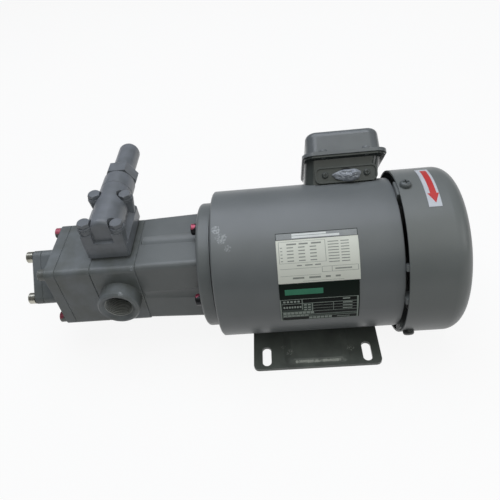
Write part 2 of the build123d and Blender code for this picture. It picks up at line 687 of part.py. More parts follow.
def terminal_box_base():
    """Deep-drawn box that widens from its neck to the rim, with a saddle on the frame."""
    joint = BOX_RIM_REACH
    shrink = 2 * BOX_WALL
    outer = loft([neck_section(), mouth_section()])
    inner = loft([neck_section(shrink), mouth_section(shrink)])
    inner += extrude(mouth_section(shrink), amount=2 * BOX_RIM_THICKNESS)
    rim = extrude(box_section(joint - BOX_RIM_THICKNESS, BOX_RIM_LENGTH, BOX_RIM_WIDTH, BOX_CORNER),
                  amount=BOX_RIM_THICKNESS)
    span = (BOX_STATION - BOX_RIM_LENGTH, BOX_STATION + BOX_RIM_LENGTH)
    shell = outer + rim - (inner - rod_y(*span, FRAME_RADIUS + BOX_WALL))
    shell -= rod_y(*span, FRAME_RADIUS + 0.02)
    shell -= extrude(box_plane(FRAME_RADIUS - 5) * Circle(LEAD_HOLE), amount=12)
    shell -= lid_screw_holes(joint - 5, M4_PAN["shank"] + THREAD_PLAY, 8)
    entry = entry_plane()
    shell -= extrude(entry * Circle(CABLE_HOLE + 0.5), amount=8, both=True)
    for x in SPANS:
        tapping = entry * (Pos(x * ENTRY_SCREW, 0) * Circle(M3_PAN["shank"] + THREAD_PLAY))
        shell -= extrude(tapping, amount=8, both=True)
    return shell


def entry_plane():
    """Plane on the open side wall of the terminal box, at the cable entry."""
    rise = BOX_RIM_REACH - BOX_RIM_THICKNESS - BOX_NECK_REACH
    slope = (BOX_MOUTH[1] - BOX_NECK[1]) / 2 / rise
    wall = BOX_NECK[1] / 2 + (ENTRY_REACH - BOX_NECK_REACH) * slope
    tilt = math.atan(slope)
    base = box_plane(ENTRY_REACH)
    origin = base.origin - base.y_dir * wall
    normal = -base.y_dir * math.cos(tilt) - base.z_dir * math.sin(tilt)
    return Plane(origin=origin, x_dir=(0, 1, 0), z_dir=normal)


def entry_plate():
    """Cover plate of the cable entry, with a raised border and a hole for the leads."""
    plane = entry_plane()
    outline = RectangleRounded(ENTRY_LENGTH, ENTRY_WIDTH, ENTRY_CORNER)
    border = outline - RectangleRounded(ENTRY_LENGTH - 2 * ENTRY_BORDER, ENTRY_WIDTH - 2 * ENTRY_BORDER,
                                        ENTRY_CORNER - ENTRY_BORDER)
    plate = extrude(plane.offset(0.05) * outline, amount=ENTRY_PLATE)
    plate += extrude(plane.offset(1.0) * border, amount=1.8)
    plate -= extrude(plane * Circle(CABLE_HOLE), amount=6, both=True)
    for x in SPANS:
        hole = plane * (Pos(x * ENTRY_SCREW, 0) * Circle(M3_PAN["shank"] + HOLE_PLAY))
        plate -= extrude(hole, amount=6)
    return plate


def entry_grommet():
    """Rubber ring that lines the cable hole."""
    plane = entry_plane()
    sleeve = Circle(CABLE_HOLE - 0.05) - Circle(CABLE_HOLE - 1.2)
    collar = Circle(CABLE_HOLE + 0.8) - Circle(CABLE_HOLE - 1.2)
    return (extrude(plane.offset(-BOX_WALL) * sleeve, amount=BOX_WALL + 2)
            + extrude(plane.offset(ENTRY_PLATE + 0.07) * collar, amount=1.2))


def entry_screws():
    plane = entry_plane().offset(ENTRY_PLATE + 0.07)
    return group((plane * Pos(x * ENTRY_SCREW, 0)) * pan_screw(ENTRY_SCREW_LENGTH, M3_PAN) for x in SPANS)


def terminal_box_gasket():
    ring = (RectangleRounded(BOX_RIM_LENGTH - 1, BOX_RIM_WIDTH - 1, 8.5)
            - RectangleRounded(BOX_RIM_LENGTH - GASKET_MARGIN[0], BOX_RIM_WIDTH - GASKET_MARGIN[1], 4))
    sheet = extrude(box_plane(BOX_RIM_REACH + 0.02) * ring, amount=BOX_GASKET - 0.04)
    return sheet - lid_screw_holes(BOX_RIM_REACH - 1, M4_PAN["shank"] + HOLE_PLAY, 4)


def lid_crown(start, shrink, end, corner, top_radius):
    """Tapered crown of the lid with a rounded top, or the hollow inside it."""
    crown = loft([
        box_section(start, LID_ROOT[0] - shrink, LID_ROOT[1] - shrink, corner),
        box_section(end, LID_TOP[0] - shrink, LID_TOP[1] - shrink, corner),
    ])
    top = crown.faces().sort_by(Axis(origin=(0, 0, 0), direction=BOX_DIRECTION))[-1]
    return fillet(top.edges(), top_radius)


def terminal_box_lid():
    """Pressed lid: flat flange with a deep, round-cornered crown."""
    seat = BOX_RIM_REACH + BOX_GASKET
    foot = seat - LID_LIP_DEPTH
    inside = extrude(box_section(foot, BOX_RIM_LENGTH + 0.4, BOX_RIM_WIDTH + 0.4, BOX_CORNER + 0.2),
                     amount=LID_LIP_DEPTH)
    length, width = BOX_RIM_LENGTH + 2 * LID_LIP, BOX_RIM_WIDTH + 2 * LID_LIP
    flange = extrude(box_section(foot, length, width, BOX_CORNER + LID_LIP),
                     amount=LID_LIP_DEPTH + LID_FLANGE)
    crown = lid_crown(seat, 0, LID_REACH, LID_CORNER, LID_ROUND)
    hollow = lid_crown(seat, 2 * LID_FLANGE, LID_REACH - LID_FLANGE, LID_CORNER - LID_FLANGE,
                       LID_ROUND - LID_FLANGE)
    lid = flange - inside + crown - hollow
    return lid - lid_screw_holes(seat - 1, M4_PAN["shank"] + HOLE_PLAY, 6)


def terminal_box_screws():
    plane = box_plane(BOX_RIM_REACH + BOX_GASKET + LID_FLANGE + 0.02)
    return group(
        (plane * Pos(x * LID_SCREW_X, y * LID_SCREW_Y)) * pan_screw(LID_SCREW_LENGTH, M4_PAN)
        for x in SPANS for y in SPANS)


def terminal_block():
    """Moulded block that stands on the floor of the terminal box."""
    plane = box_plane(BLOCK_REACH)
    body = extrude(plane * (Pos(BLOCK_PLACE, 0) * RectangleRounded(*BLOCK_SIZE, 1.5)), amount=BLOCK_HEIGHT)
    for y in (-STUD_PITCH / 2, STUD_PITCH / 2):
        barrier = plane.offset(BLOCK_HEIGHT - 0.5) * (Pos(BLOCK_PLACE, y) * Rectangle(BLOCK_SIZE[0], 1.5))
        body += extrude(barrier, amount=5)
    return body


def terminal_studs():
    """Brass studs of the terminal block, each with its nut."""
    top = box_plane(BLOCK_REACH + BLOCK_HEIGHT + 0.03)
    studs = []
    for y in (-STUD_PITCH, 0.0, STUD_PITCH):
        nut = extrude(top * (Pos(BLOCK_PLACE, y) * RegularPolygon(3.5, 6, major_radius=False)), amount=3)
        studs.append(nut + extrude(top * (Pos(BLOCK_PLACE, y) * Circle(2)), amount=7))
    return group(studs)


# ---------------------------------------------------------------- plates on the motor
def curved_plate(radius, thickness, start_angle, end_angle, start, end):
    return prism_y(annulus_sector(radius + 0.02, radius + thickness, start_angle, end_angle), start, end)


def rating_plate():
    return curved_plate(FRAME_RADIUS, PLATE_THICKNESS, *RATING_PLATE)


def pump_plate():
    return curved_plate(FRAME_RADIUS, PLATE_THICKNESS, *PUMP_PLATE)


def rotation_arrow():
    return curved_plate(COVER_RADIUS, LABEL_THICKNESS, *ARROW_LABEL)


# ---------------------------------------------------------------- adapter and coupling
def adapter():
    """Square cast housing with a round flange, a tool channel in each side and a drain."""
    stations = (
        (ADAPTER_FACE, ADAPTER_FRONT_HALF - SEAM_BEVEL),
        (ADAPTER_FACE + SEAM_BEVEL, ADAPTER_FRONT_HALF),
        (FLANGE_FACE + 1, ADAPTER_REAR_HALF),
    )
    body = loft([
        Pos(0, station, SHAFT_HEIGHT + ADAPTER_LIFT) * Rot(90, 0, 0)
        * RectangleRounded(2 * half, 2 * half, PUMP_EDGE) for station, half in stations], ruled=True)
    flange = rod_y(FLANGE_FACE, SEAT_FACE, ADAPTER_FLANGE_RADIUS)
    flange = fillet(flange.edges().group_by(Axis.Y)[0], 3.0)
    body += flange
    for angle in QUARTERS:
        x, z = polar(FLANGE_BOLT_CIRCLE, angle)
        body -= rod_y(ADAPTER_FACE + 1.5, FLANGE_FACE, TOOL_RADIUS, x, z)
        body -= rod_y(FLANGE_FACE - 1, SEAT_FACE + 1, M6["shank"] + HOLE_PLAY, x, z)
    body -= rod_y(ADAPTER_FACE + ADAPTER_WALL, SEAT_FACE + 1, ADAPTER_BORE)
    body -= rod_y(ADAPTER_FACE - 1, ADAPTER_FACE + ADAPTER_WALL + 1, ADAPTER_SPIGOT_BORE)
    body -= rod_y(SEAT_FACE - SPIGOT_HEIGHT - 0.2, SEAT_FACE + 1, SPIGOT_RADIUS + 0.03)
    for x in SPANS:
        for z in SPANS:
            body -= rod_y(ADAPTER_FACE - 1, ADAPTER_FACE + 12, M6["shank"] + THREAD_PLAY,
                          x * PUMP_BOLT_PLACE, SHAFT_HEIGHT + z * PUMP_BOLT_PLACE)
    drain_foot = SHAFT_HEIGHT - ADAPTER_REAR_HALF - 1
    return body - rod_z(drain_foot, SHAFT_HEIGHT - 15, DRAIN_RADIUS, 0, FLANGE_FACE - 14)


def flange_bolts():
    bolts = []
    for angle in QUARTERS:
        x, z = polar(FLANGE_BOLT_CIRCLE, angle)
        bolts.append(Pos(x, FLANGE_FACE - 0.02, z) * HEAD_TO_PUMP * socket_bolt(FLANGE_BOLT_LENGTH))
    return group(bolts)


def coupling_hub(side):
    """Jaw hub on one shaft. side -1 is the pump's hub, +1 the motor's."""
    shaft, key = (PUMP_SHAFT, PUMP_KEY) if side < 0 else (STUB_RADIUS, MOTOR_KEY)
    bore = shaft + 0.02
    near = COUPLING_MIDDLE + side * JAW_LENGTH / 2
    far = near + side * HUB_LENGTH
    hub = turned([(near, bore), (near, HUB_RADIUS), (far, HUB_RADIUS), (far, bore)])
    for step in range(JAW_COUNT):
        angle = 30 + (0 if side < 0 else 60) + step * 120
        jaw = annulus_sector(10.5, HUB_RADIUS, angle - 17, angle + 17)
        start, end = sorted((near, near - side * (JAW_LENGTH - 0.5)))
        hub += prism_y(jaw, start, end)
    start, end = sorted((near, far))
    top = SHAFT_HEIGHT + shaft + KEY_RISE[key]
    return hub - block((-key / 2 - 0.02, key / 2 + 0.02), (start - 1, end + 1), (SHAFT_HEIGHT, top + 0.1))


def coupling_spider():
    """Rubber star between the jaws."""
    star = Circle(10.2) - Circle(STUB_RADIUS + 0.6)
    for step in range(2 * JAW_COUNT):
        star += annulus_sector(10.0, HUB_RADIUS - 0.5, step * 60 - 12, step * 60 + 12)
    return prism_y(star, COUPLING_MIDDLE - JAW_LENGTH / 2 + 0.2, COUPLING_MIDDLE + JAW_LENGTH / 2 - 0.2)


def motor_key():
    top = SHAFT_HEIGHT + STUB_RADIUS + KEY_RISE[MOTOR_KEY]
    half = MOTOR_KEY / 2 - 0.02
    return block((-half, half), (STUB_END + 2.1, STUB_END + 16), (top - MOTOR_KEY + 0.02, top))


# ---------------------------------------------------------------- pump
def bolt_square(start, end, radius):
    """Four rods in the corners of the pump body."""
    rods = None
    for x in SPANS:
        for z in SPANS:
            rod = rod_y(start, end, radius, x * PUMP_BOLT_PLACE, SHAFT_HEIGHT + z * PUMP_BOLT_PLACE)
            rods = rod if rods is None else rods + rod
    return rods


def kidney(side):
    """Section of a kidney port: -1 suction, +1 discharge."""
    middle = 0 if side > 0 else 180
    return annulus_sector(TOOTH_CIRCLE - TOOTH_RADIUS - 1, ROTOR_ROOT, middle - 58, middle + 58)


def pump_square(start, end):
    """Length of the pump's square section, with bevelled end edges."""
    body = prism_y(RectangleRounded(2 * PUMP_HALF, 2 * PUMP_HALF, PUMP_EDGE), start, end)
    ends = body.edges().group_by(Axis.Y)
    return chamfer(ends[0] + ends[-1], SEAM_BEVEL)


def port_body():
    """Cast body with both pipe ports, kidneys, the shaft bush and seal seats and the valve pad."""
    body = pump_square(HOUSING_FACE, ADAPTER_FACE)
    for side in SPANS:
        boss = rod_x(0, side * PORT_FACE, PORT_BOSS_RADIUS, PORT_STATION, SHAFT_HEIGHT)
        rim = boss.edges().group_by(Axis.X)[-1 if side > 0 else 0]
        body += chamfer(rim, PORT_BOSS_BEVEL)
    pad = valve_outline(PAD_INSET, PUMP_TOP - 4, VALVE_PAD + 4)
    body += pad - block((-50, 50), (COVER_FACE, HOUSING_FACE), (0, PUMP_TOP + 0.1))
    body += rod_y(ADAPTER_FACE - 1, ADAPTER_FACE + SPIGOT_REACH, ADAPTER_SPIGOT_BORE - 0.05)
    for side in SPANS:
        thread_end = PORT_FACE - PORT_THREAD_DEPTH
        body -= rod_x(side * thread_end, side * (PORT_FACE + 1), PORT_RADIUS, PORT_STATION, SHAFT_HEIGHT)
        body -= rod_x(side * PORT_INNER, side * (thread_end + 1), PORT_CHANNEL, PORT_STATION, SHAFT_HEIGHT)
        body -= turned_x([
            (side * (PORT_FACE + 0.1), 0), (side * (PORT_FACE + 0.1), PORT_RADIUS + PORT_MOUTH + 0.1),
            (side * (PORT_FACE - PORT_MOUTH), PORT_RADIUS), (side * (PORT_FACE - PORT_MOUTH), 0),
        ], PORT_STATION, SHAFT_HEIGHT)
        body -= prism_y(kidney(side), HOUSING_FACE - 1, HOUSING_FACE + KIDNEY_DEPTH)
    for x in (PASSAGE_FRONT, PASSAGE_REAR):
        body -= rod_z(SHAFT_HEIGHT, PAD_TOP + 1, PASSAGE_RADIUS, x, VALVE_STATION)
    body -= rod_y(HOUSING_FACE - 1, ADAPTER_FACE + SPIGOT_REACH + 1, PUMP_SHAFT + BUSH_WALL)
    body -= rod_y(ADAPTER_FACE - 1, ADAPTER_FACE + SPIGOT_REACH + 1, SEAL_RADIUS)
    body -= bolt_square(HOUSING_FACE - 1, ADAPTER_FACE + 1, M6["shank"] + HOLE_PLAY)
    for x, y, _ in valve_bolt_places():
        body -= rod_z(PAD_TOP - VALVE_THREAD, PAD_TOP + 1, M6["shank"] + THREAD_PLAY, x, y)
    return body


def shaft_bush(start, end):
    return turned([
        (start, PUMP_SHAFT + RUNNING_PLAY), (start, PUMP_SHAFT + BUSH_WALL - 0.02),
        (end, PUMP_SHAFT + BUSH_WALL - 0.02), (end, PUMP_SHAFT + RUNNING_PLAY),
    ])


def shaft_seal():
    """Lip seal in the pump's nose: metal-cased ring whose lip bears on the shaft."""
    start, end = ADAPTER_FACE - 0.9, ADAPTER_FACE + SPIGOT_REACH - 0.1
    return turned([
        (start, PUMP_SHAFT + 2), (start, SEAL_RADIUS - 0.02), (end, SEAL_RADIUS - 0.02),
        (end, SEAL_RADIUS - 1.5), (start + 1.5, SEAL_RADIUS - 1.5), (start + 2.5, PUMP_SHAFT + 3.4),
        (start + 4.5, PUMP_SHAFT + 1.2), (start + 4.0, PUMP_SHAFT + 0.06),
        (start + 3.2, PUMP_SHAFT + 0.06), (start + 2.2, PUMP_SHAFT + 2),
    ])


def gear_housing():
    """Square ring whose off-centre bore carries the outer rotor."""
    body = pump_square(COVER_FACE, HOUSING_FACE)
    bore = OUTER_ROTOR_RADIUS + 2 * RUNNING_PLAY
    body -= rod_y(COVER_FACE - 1, HOUSING_FACE + 1, bore, 0, SHAFT_HEIGHT + ECCENTRICITY)
    return body - bolt_square(COVER_FACE - 1, HOUSING_FACE + 1, M6["shank"] + HOLE_PLAY)


def outer_rotor():
    """Ring with five round teeth inside."""
    teeth = [
        Rot(0, 0, -90 + step * 360 / OUTER_TEETH) * Pos(TOOTH_CIRCLE, 0) * Circle(TOOTH_RADIUS)
        for step in range(OUTER_TEETH)]
    cavity = Circle(ROTOR_ROOT + ROTOR_GAP)
    for tooth in teeth:
        cavity -= tooth
    section = Circle(OUTER_ROTOR_RADIUS) - cavity
    return Pos(0, 0, ECCENTRICITY) * prism_y(section, COVER_FACE + SIDE_GAP, HOUSING_FACE - SIDE_GAP)


def trochoid_point(turn):
    """Point of the inner rotor's flank, which stays in touch with the outer rotor's round teeth."""
    ratio = TOOTH_CIRCLE / (ECCENTRICITY * OUTER_TEETH)
    lean = math.atan2(math.sin((1 - OUTER_TEETH) * turn), ratio - math.cos((1 - OUTER_TEETH) * turn))
    tooth = TOOTH_RADIUS + ROTOR_GAP
    x = (TOOTH_CIRCLE * math.cos(turn) - tooth * math.cos(turn + lean)
         - ECCENTRICITY * math.cos(OUTER_TEETH * turn))
    y = (-TOOTH_CIRCLE * math.sin(turn) + tooth * math.sin(turn + lean)
         + ECCENTRICITY * math.sin(OUTER_TEETH * turn))
    return x, y


def inner_rotor():
    """Four-lobed rotor on the pump shaft."""
    steps = INNER_TEETH * FLANK_POINTS
    points = [trochoid_point(2 * math.pi * step / steps) for step in range(steps)]
    section = Rot(0, 0, -90) * make_face(Spline(*points, periodic=True))
    section -= Circle(PUMP_SHAFT + 0.02)
    section -= Pos(0, PUMP_SHAFT) * Rectangle(PUMP_KEY + 0.04, PUMP_KEY + 0.04)
    return prism_y(section, COVER_FACE + SIDE_GAP, HOUSING_FACE - SIDE_GAP)


def pump_shaft():
    start, end = CAP_FACE + 1.0, COUPLING_MIDDLE - JAW_LENGTH / 2 - 0.5
    shaft = turned([
        (start, 0), (start, PUMP_SHAFT - 0.8), (start + 0.8, PUMP_SHAFT), (end - 0.8, PUMP_SHAFT),
        (end, PUMP_SHAFT - 0.8), (end, 0),
    ])
    top = SHAFT_HEIGHT + PUMP_SHAFT
    half = PUMP_KEY / 2 + 0.02
    shaft -= block((-half, half), (COVER_FACE + 3, HOUSING_FACE - 3), (top - PUMP_KEY / 2 - 0.02, top + 1))
    return shaft - block((-half, half), (end - 14, end + 1), (top - PUMP_KEY / 2 - 0.02, top + 1))


def pump_keys():
    """Keys of the inner rotor and of the pump's coupling hub."""
    top = SHAFT_HEIGHT + PUMP_SHAFT
    end = COUPLING_MIDDLE - JAW_LENGTH / 2 - 0.5
    half = PUMP_KEY / 2
    rotor_key = block((-half, half), (COVER_FACE + 3.1, HOUSING_FACE - 3.1), (top - half, top + half))
    hub_key = block((-half, half), (end - 13.5, end - 0.5), (top - half, top + half))
    return group([rotor_key, hub_key])


def rear_cover():
    body = pump_square(CAP_FACE, COVER_FACE)
    body -= rod_y(CAP_FACE - 1, COVER_FACE + 1, PUMP_SHAFT + BUSH_WALL)
    body -= bolt_square(CAP_FACE - 1, COVER_FACE + 1, M6["shank"] + HOLE_PLAY)
    for x, z in cap_bolt_places():
        body -= rod_y(CAP_FACE - 1, COVER_FACE - 1.5, M6["shank"] + THREAD_PLAY, x, z)
    return body


def cap_bolt_places():
    places = [polar(CAP_BOLT_CIRCLE, angle) for angle in QUARTERS]
    return [(x, z - CAP_DROP) for x, z in places]


def cap_plate(start, end, first_bevel, second_bevel):
    """Part of the end cap: a square turned an eighth, its end edges bevelled, with four bolt holes."""
    section = Rot(0, 0, 45) * RectangleRounded(2 * CAP_HALF, 2 * CAP_HALF, CAP_CORNER)
    body = prism_y(section, start, end, CAP_HEIGHT)
    body = chamfer(body.edges().group_by(Axis.Y)[0], first_bevel)
    body = chamfer(body.edges().group_by(Axis.Y)[-1], second_bevel)
    for x, z in cap_bolt_places():
        body -= rod_y(start - 1, end + 1, M6["shank"] + HOLE_PLAY, x, z)
    return body


def end_cap_body():
    """Square ring with the chamber that drains the rear bush."""
    body = cap_plate(CAP_SEAM, CAP_FACE, SEAM_BEVEL, SEAM_BEVEL)
    return body - rod_y(CAP_SEAM - 1, CAP_FACE + 1, CAP_CHAMBER, 0, CAP_HEIGHT)


def end_cap_cover():
    return cap_plate(CAP_END, CAP_SEAM - 0.02, CAP_BEVEL, SEAM_BEVEL)


def end_cap_bolts():
    length = CAP_FACE - CAP_END + CAP_BOLT_THREAD
    return group(
        Pos(x, CAP_END - 0.02, z) * HEAD_TO_PUMP * socket_bolt(length) for x, z in cap_bolt_places())


def pump_bolts():
    """Long bolts that clamp cover, housing and port body to the adapter."""
    length = ADAPTER_FACE - CAP_FACE + PUMP_BOLT_THREAD
    return group(
        Pos(x * PUMP_BOLT_PLACE, CAP_FACE - 0.02, SHAFT_HEIGHT + z * PUMP_BOLT_PLACE)
        * HEAD_TO_PUMP * socket_bolt(length)
        for x in SPANS for z in SPANS)


# ---------------------------------------------------------------- relief valve
def valve_bolt_places():
    """X and Y of each of the four bolts and the height that its washer sits at."""
    seats = {-1: PUMP_SIDE_BOSS, 1: MOTOR_SIDE_BOSS}
    return [(x, VALVE_STATION + side * VALVE_BOLT_SPACING_Y / 2, seats[side])
            for x in (VALVE_BOLT_FRONT, VALVE_BOLT_REAR) for side in SPANS]


def valve_outline(inset, foot, height):
    """Upright slab with the outline of the valve's foot, drawn in by the inset."""
    length = VALVE_FRONT - VALVE_BLOCK_REAR - 2 * inset
    section = RectangleRounded(length, VALVE_WIDTH - 2 * inset, VALVE_CORNER)
    return Pos((VALVE_FRONT + VALVE_BLOCK_REAR) / 2, VALVE_STATION, foot) * extrude(section, amount=height)


def valve_gasket():
    sheet = valve_outline(GASKET_INSET, PAD_TOP + 0.02, GASKET - 0.04)
    for x in (PASSAGE_FRONT, PASSAGE_REAR):
        sheet -= rod_z(PAD_TOP - 1, VALVE_BASE + 1, PASSAGE_RADIUS, x, VALVE_STATION)
    for x, y, _ in valve_bolt_places():
        sheet -= rod_z(PAD_TOP - 1, VALVE_BASE + 1, M6["shank"] + HOLE_PLAY, x, y)
    return sheet


def valve_body():
    """Cast block with four bolt bosses round a barrel that lies across the pump."""
    axis = (VALVE_STATION, VALVE_AXIS_HEIGHT)
    length = VALVE_FRONT - VALVE_BLOCK_REAR
    middle = (VALVE_FRONT + VALVE_BLOCK_REAR) / 2
    body = valve_outline(0, VALVE_BASE, VALVE_SHOULDER - VALVE_BASE)
    body += loft([
        Pos(middle, VALVE_STATION, VALVE_SHOULDER) * RectangleRounded(length, VALVE_WIDTH, VALVE_CORNER),
        Pos(middle, VALVE_STATION, VALVE_BLOCK_TOP)
        * RectangleRounded(length - 1, 2 * VALVE_BARREL - 4, VALVE_CORNER),
    ])
    body += block((VALVE_FRONT - VALVE_WALL, VALVE_FRONT - 0.2),
                  (VALVE_STATION - VALVE_WIDTH / 2 + 0.5, VALVE_STATION + VALVE_WIDTH / 2 - 0.5),
                  (VALVE_BASE + 1, VALVE_WALL_TOP))
    body -= block((VALVE_FRONT - POCKET_DEPTH, VALVE_FRONT + 1),
                  (VALVE_STATION - POCKET_HALF, VALVE_STATION + POCKET_HALF),
                  (POCKET_FLOOR, VALVE_WALL_TOP + 1))
    for x, y, seat in valve_bolt_places():
        body += Pos(x, y, (VALVE_BOSS_FOOT + seat) / 2) * Cone(*VALVE_BOSS_RADII, seat - VALVE_BOSS_FOOT)
    nose = rod_x(VALVE_BARREL_STEP, VALVE_FRONT - POCKET_DEPTH, VALVE_NOSE, *axis)
    body += fillet(nose.edges().group_by(Axis.X)[-1], VALVE_NOSE_ROUND)
    barrel = rod_x(VALVE_BARREL_REAR, VALVE_BARREL_STEP + 1, VALVE_BARREL, *axis)
    body += chamfer(barrel.edges().group_by(Axis.X)[0], SEAM_BEVEL)
    for x, y, seat in valve_bolt_places():
        body -= rod_z(seat, seat + 12, WASHER_SEAT, x, y)
        body -= rod_z(VALVE_BASE - 1, seat + 1, M6["shank"] + HOLE_PLAY, x, y)
    body -= rod_x(VALVE_BARREL_REAR - 1, SEAT_STATION, VALVE_BORE, *axis)
    body -= rod_x(SEAT_STATION - 1, PASSAGE_FRONT + 1.5, SEAT_BORE, *axis)
    thread_end = VALVE_BARREL_REAR + BONNET_THREAD_LENGTH + 1
    body -= rod_x(VALVE_BARREL_REAR - 1, thread_end, BONNET_THREAD + THREAD_PLAY, *axis)
    for x in (PASSAGE_FRONT, PASSAGE_REAR):
        body -= rod_z(VALVE_BASE - 1, VALVE_AXIS_HEIGHT, PASSAGE_RADIUS, x, VALVE_STATION)
    return body


def valve_bolts():
    bolts = []
    for x, y, seat in valve_bolt_places():
        under_head = seat + WASHER["thickness"]
        bolts.append(Pos(x, y, under_head + 0.04) * hex_bolt(under_head - PAD_TOP + VALVE_THREAD - 0.4))
    return group(bolts)


def valve_washers():
    ring = Circle(WASHER["radius"]) - Circle(M6_HEX["shank"] + HOLE_PLAY)
    return group(
        Pos(x, y, seat + 0.02) * extrude(ring, amount=WASHER["thickness"])
        for x, y, seat in valve_bolt_places())


def relief_piston():
    """Cone-nosed piston whose skirt has four flats that let the oil past, bored for the spring."""
    axis = (VALVE_STATION, VALVE_AXIS_HEIGHT)
    radius = VALVE_BORE - RUNNING_PLAY
    skirt_end = SEAT_STATION - PISTON_LENGTH
    body = turned_x([
        (SEAT_STATION + 2.0, 0), (SEAT_STATION + 2.0, SEAT_BORE - 2.0),
        (SEAT_STATION - 0.03, SEAT_BORE - 0.05),
        (SEAT_STATION - 0.03, radius - 1.5), (SEAT_STATION - 1.5, radius),
        (skirt_end, radius), (skirt_end, 0),
    ], *axis)
    body -= rod_x(skirt_end - 1, SPRING_FLOOR, SPRING_RADIUS + SPRING_WIRE / 2 + 0.4, *axis)
    for angle in QUARTERS:
        flat = Pos(0, *axis) * Rot(angle + 45, 0, 0) * Pos((skirt_end + SEAT_STATION) / 2 - 1, 0, radius)
        body -= flat * Box(PISTON_LENGTH - 1.9, 12, 1.5)
    return body


def relief_spring():
    """Round coil of flat wire between the piston's bore and the spring seat."""
    start, end = SPRING_FLOOR - 0.1, SPRING_REAR + 0.1
    length = start - end - SPRING_WIRE
    path = Helix(pitch=length / SPRING_TURNS, height=length, radius=SPRING_RADIUS)
    section = Plane(origin=path @ 0, x_dir=(1, 0, 0), z_dir=path % 0) * Rectangle(SPRING_WIRE, SPRING_WIRE)
    coil = sweep(section, path=path, is_frenet=True)
    return Pos(end + SPRING_WIRE / 2, VALVE_STATION, VALVE_AXIS_HEIGHT) * Rot(0, 90, 0) * coil


def spring_seat():
    """Guide disc that the adjusting screw pushes against the spring."""
    return turned_x([
        (SPRING_REAR + 3, 0), (SPRING_REAR + 3, 2.6), (SPRING_REAR, 2.6), (SPRING_REAR, VALVE_BORE - 0.3),
        (SPRING_REAR - 3, VALVE_BORE - 0.3), (SPRING_REAR - 3, 0),
    ], VALVE_STATION, VALVE_AXIS_HEIGHT)


def valve_bonnet():
    """Screwed plug: threaded end, collar, hexagon and the neck that the dome cap screws onto."""
    axis = (VALVE_STATION, VALVE_AXIS_HEIGHT)
    hex_foot = BONNET_REAR + HEX_REAR
    hexagon = Plane(origin=(hex_foot, *axis), x_dir=(0, 1, 0), z_dir=(1, 0, 0)) * RegularPolygon(
        BONNET_FLATS / 2, 6, major_radius=False)
    body = extrude(hexagon, amount=HEX_LENGTH)
    face = VALVE_BARREL_REAR - 0.02
    body += turned_x([
        (face, 0), (face, VALVE_BARREL - SEAM_BEVEL), (face - SEAM_BEVEL, VALVE_BARREL),
        (hex_foot + HEX_LENGTH + 2, VALVE_BARREL), (hex_foot + HEX_LENGTH, BONNET_COLLAR),
        (hex_foot - 1, BONNET_COLLAR), (BONNET_REAR, CAP_RADIUS + 1), (BONNET_REAR, 0),
    ], *axis)
    body += rod_x(BONNET_REAR - NECK_LENGTH, BONNET_REAR + 1, CAP_RADIUS - CAP_WALL, *axis)
    body += rod_x(VALVE_BARREL_REAR - 1, VALVE_BARREL_REAR + BONNET_THREAD_LENGTH, BONNET_THREAD, *axis)
    body -= rod_x(VALVE_BARREL_REAR - 4, VALVE_BARREL_REAR + BONNET_THREAD_LENGTH + 1, VALVE_BORE, *axis)
    return body - rod_x(BONNET_REAR - NECK_LENGTH - 1, VALVE_BARREL_REAR, SCREW_RADIUS + THREAD_PLAY, *axis)


def adjusting_screw():
    """Threaded screw with a screwdriver slot, locked by its nut under the cap."""
    axis = (VALVE_STATION, VALVE_AXIS_HEIGHT)
    start, end = SPRING_REAR - 3.05, BONNET_REAR - NECK_LENGTH - 16
    screw = rod_x(start, end, SCREW_RADIUS, *axis)
    return screw - block((end - 1, end + 2), (VALVE_STATION - 0.6, VALVE_STATION + 0.6),
                         (VALVE_AXIS_HEIGHT - 5, VALVE_AXIS_HEIGHT + 5))


def lock_nut():
    face = BONNET_REAR - NECK_LENGTH - 0.05
    plane = Plane(origin=(face - LOCK_NUT_HEIGHT, VALVE_STATION, VALVE_AXIS_HEIGHT),
                  x_dir=(0, 1, 0), z_dir=(1, 0, 0))
    section = RegularPolygon(LOCK_NUT_FLATS / 2, 6, major_radius=False) - Circle(SCREW_RADIUS + THREAD_PLAY)
    return extrude(plane * section, amount=LOCK_NUT_HEIGHT)


def dome_cap():
    """Long cap nut with a domed end over the adjusting screw."""
    mouth = BONNET_REAR - 0.05
    dome = CAP_DOME
    shoulder = CAP_REAR + dome
    inner = CAP_RADIUS - CAP_WALL + THREAD_PLAY
    bend = math.sqrt(0.5)
    edges = [
        Line((mouth, inner), (mouth, CAP_RADIUS)),
        Line((mouth, CAP_RADIUS), (shoulder, CAP_RADIUS)),
        ThreePointArc((shoulder, CAP_RADIUS), (shoulder - dome * bend, CAP_RADIUS - 1.2 - dome * (1 - bend)),
                      (CAP_REAR, CAP_RADIUS - dome)),
        Line((CAP_REAR, CAP_RADIUS - dome), (CAP_REAR, 0)),
        Line((CAP_REAR, 0), (shoulder - 2, 0)),
        Line((shoulder - 2, 0), (shoulder + 1, inner)),
        Line((shoulder + 1, inner), (mouth, inner)),
    ]
    section = make_face(Wire(edges))
    return Pos(0, VALVE_STATION, VALVE_AXIS_HEIGHT) * revolve(section, Axis.X)


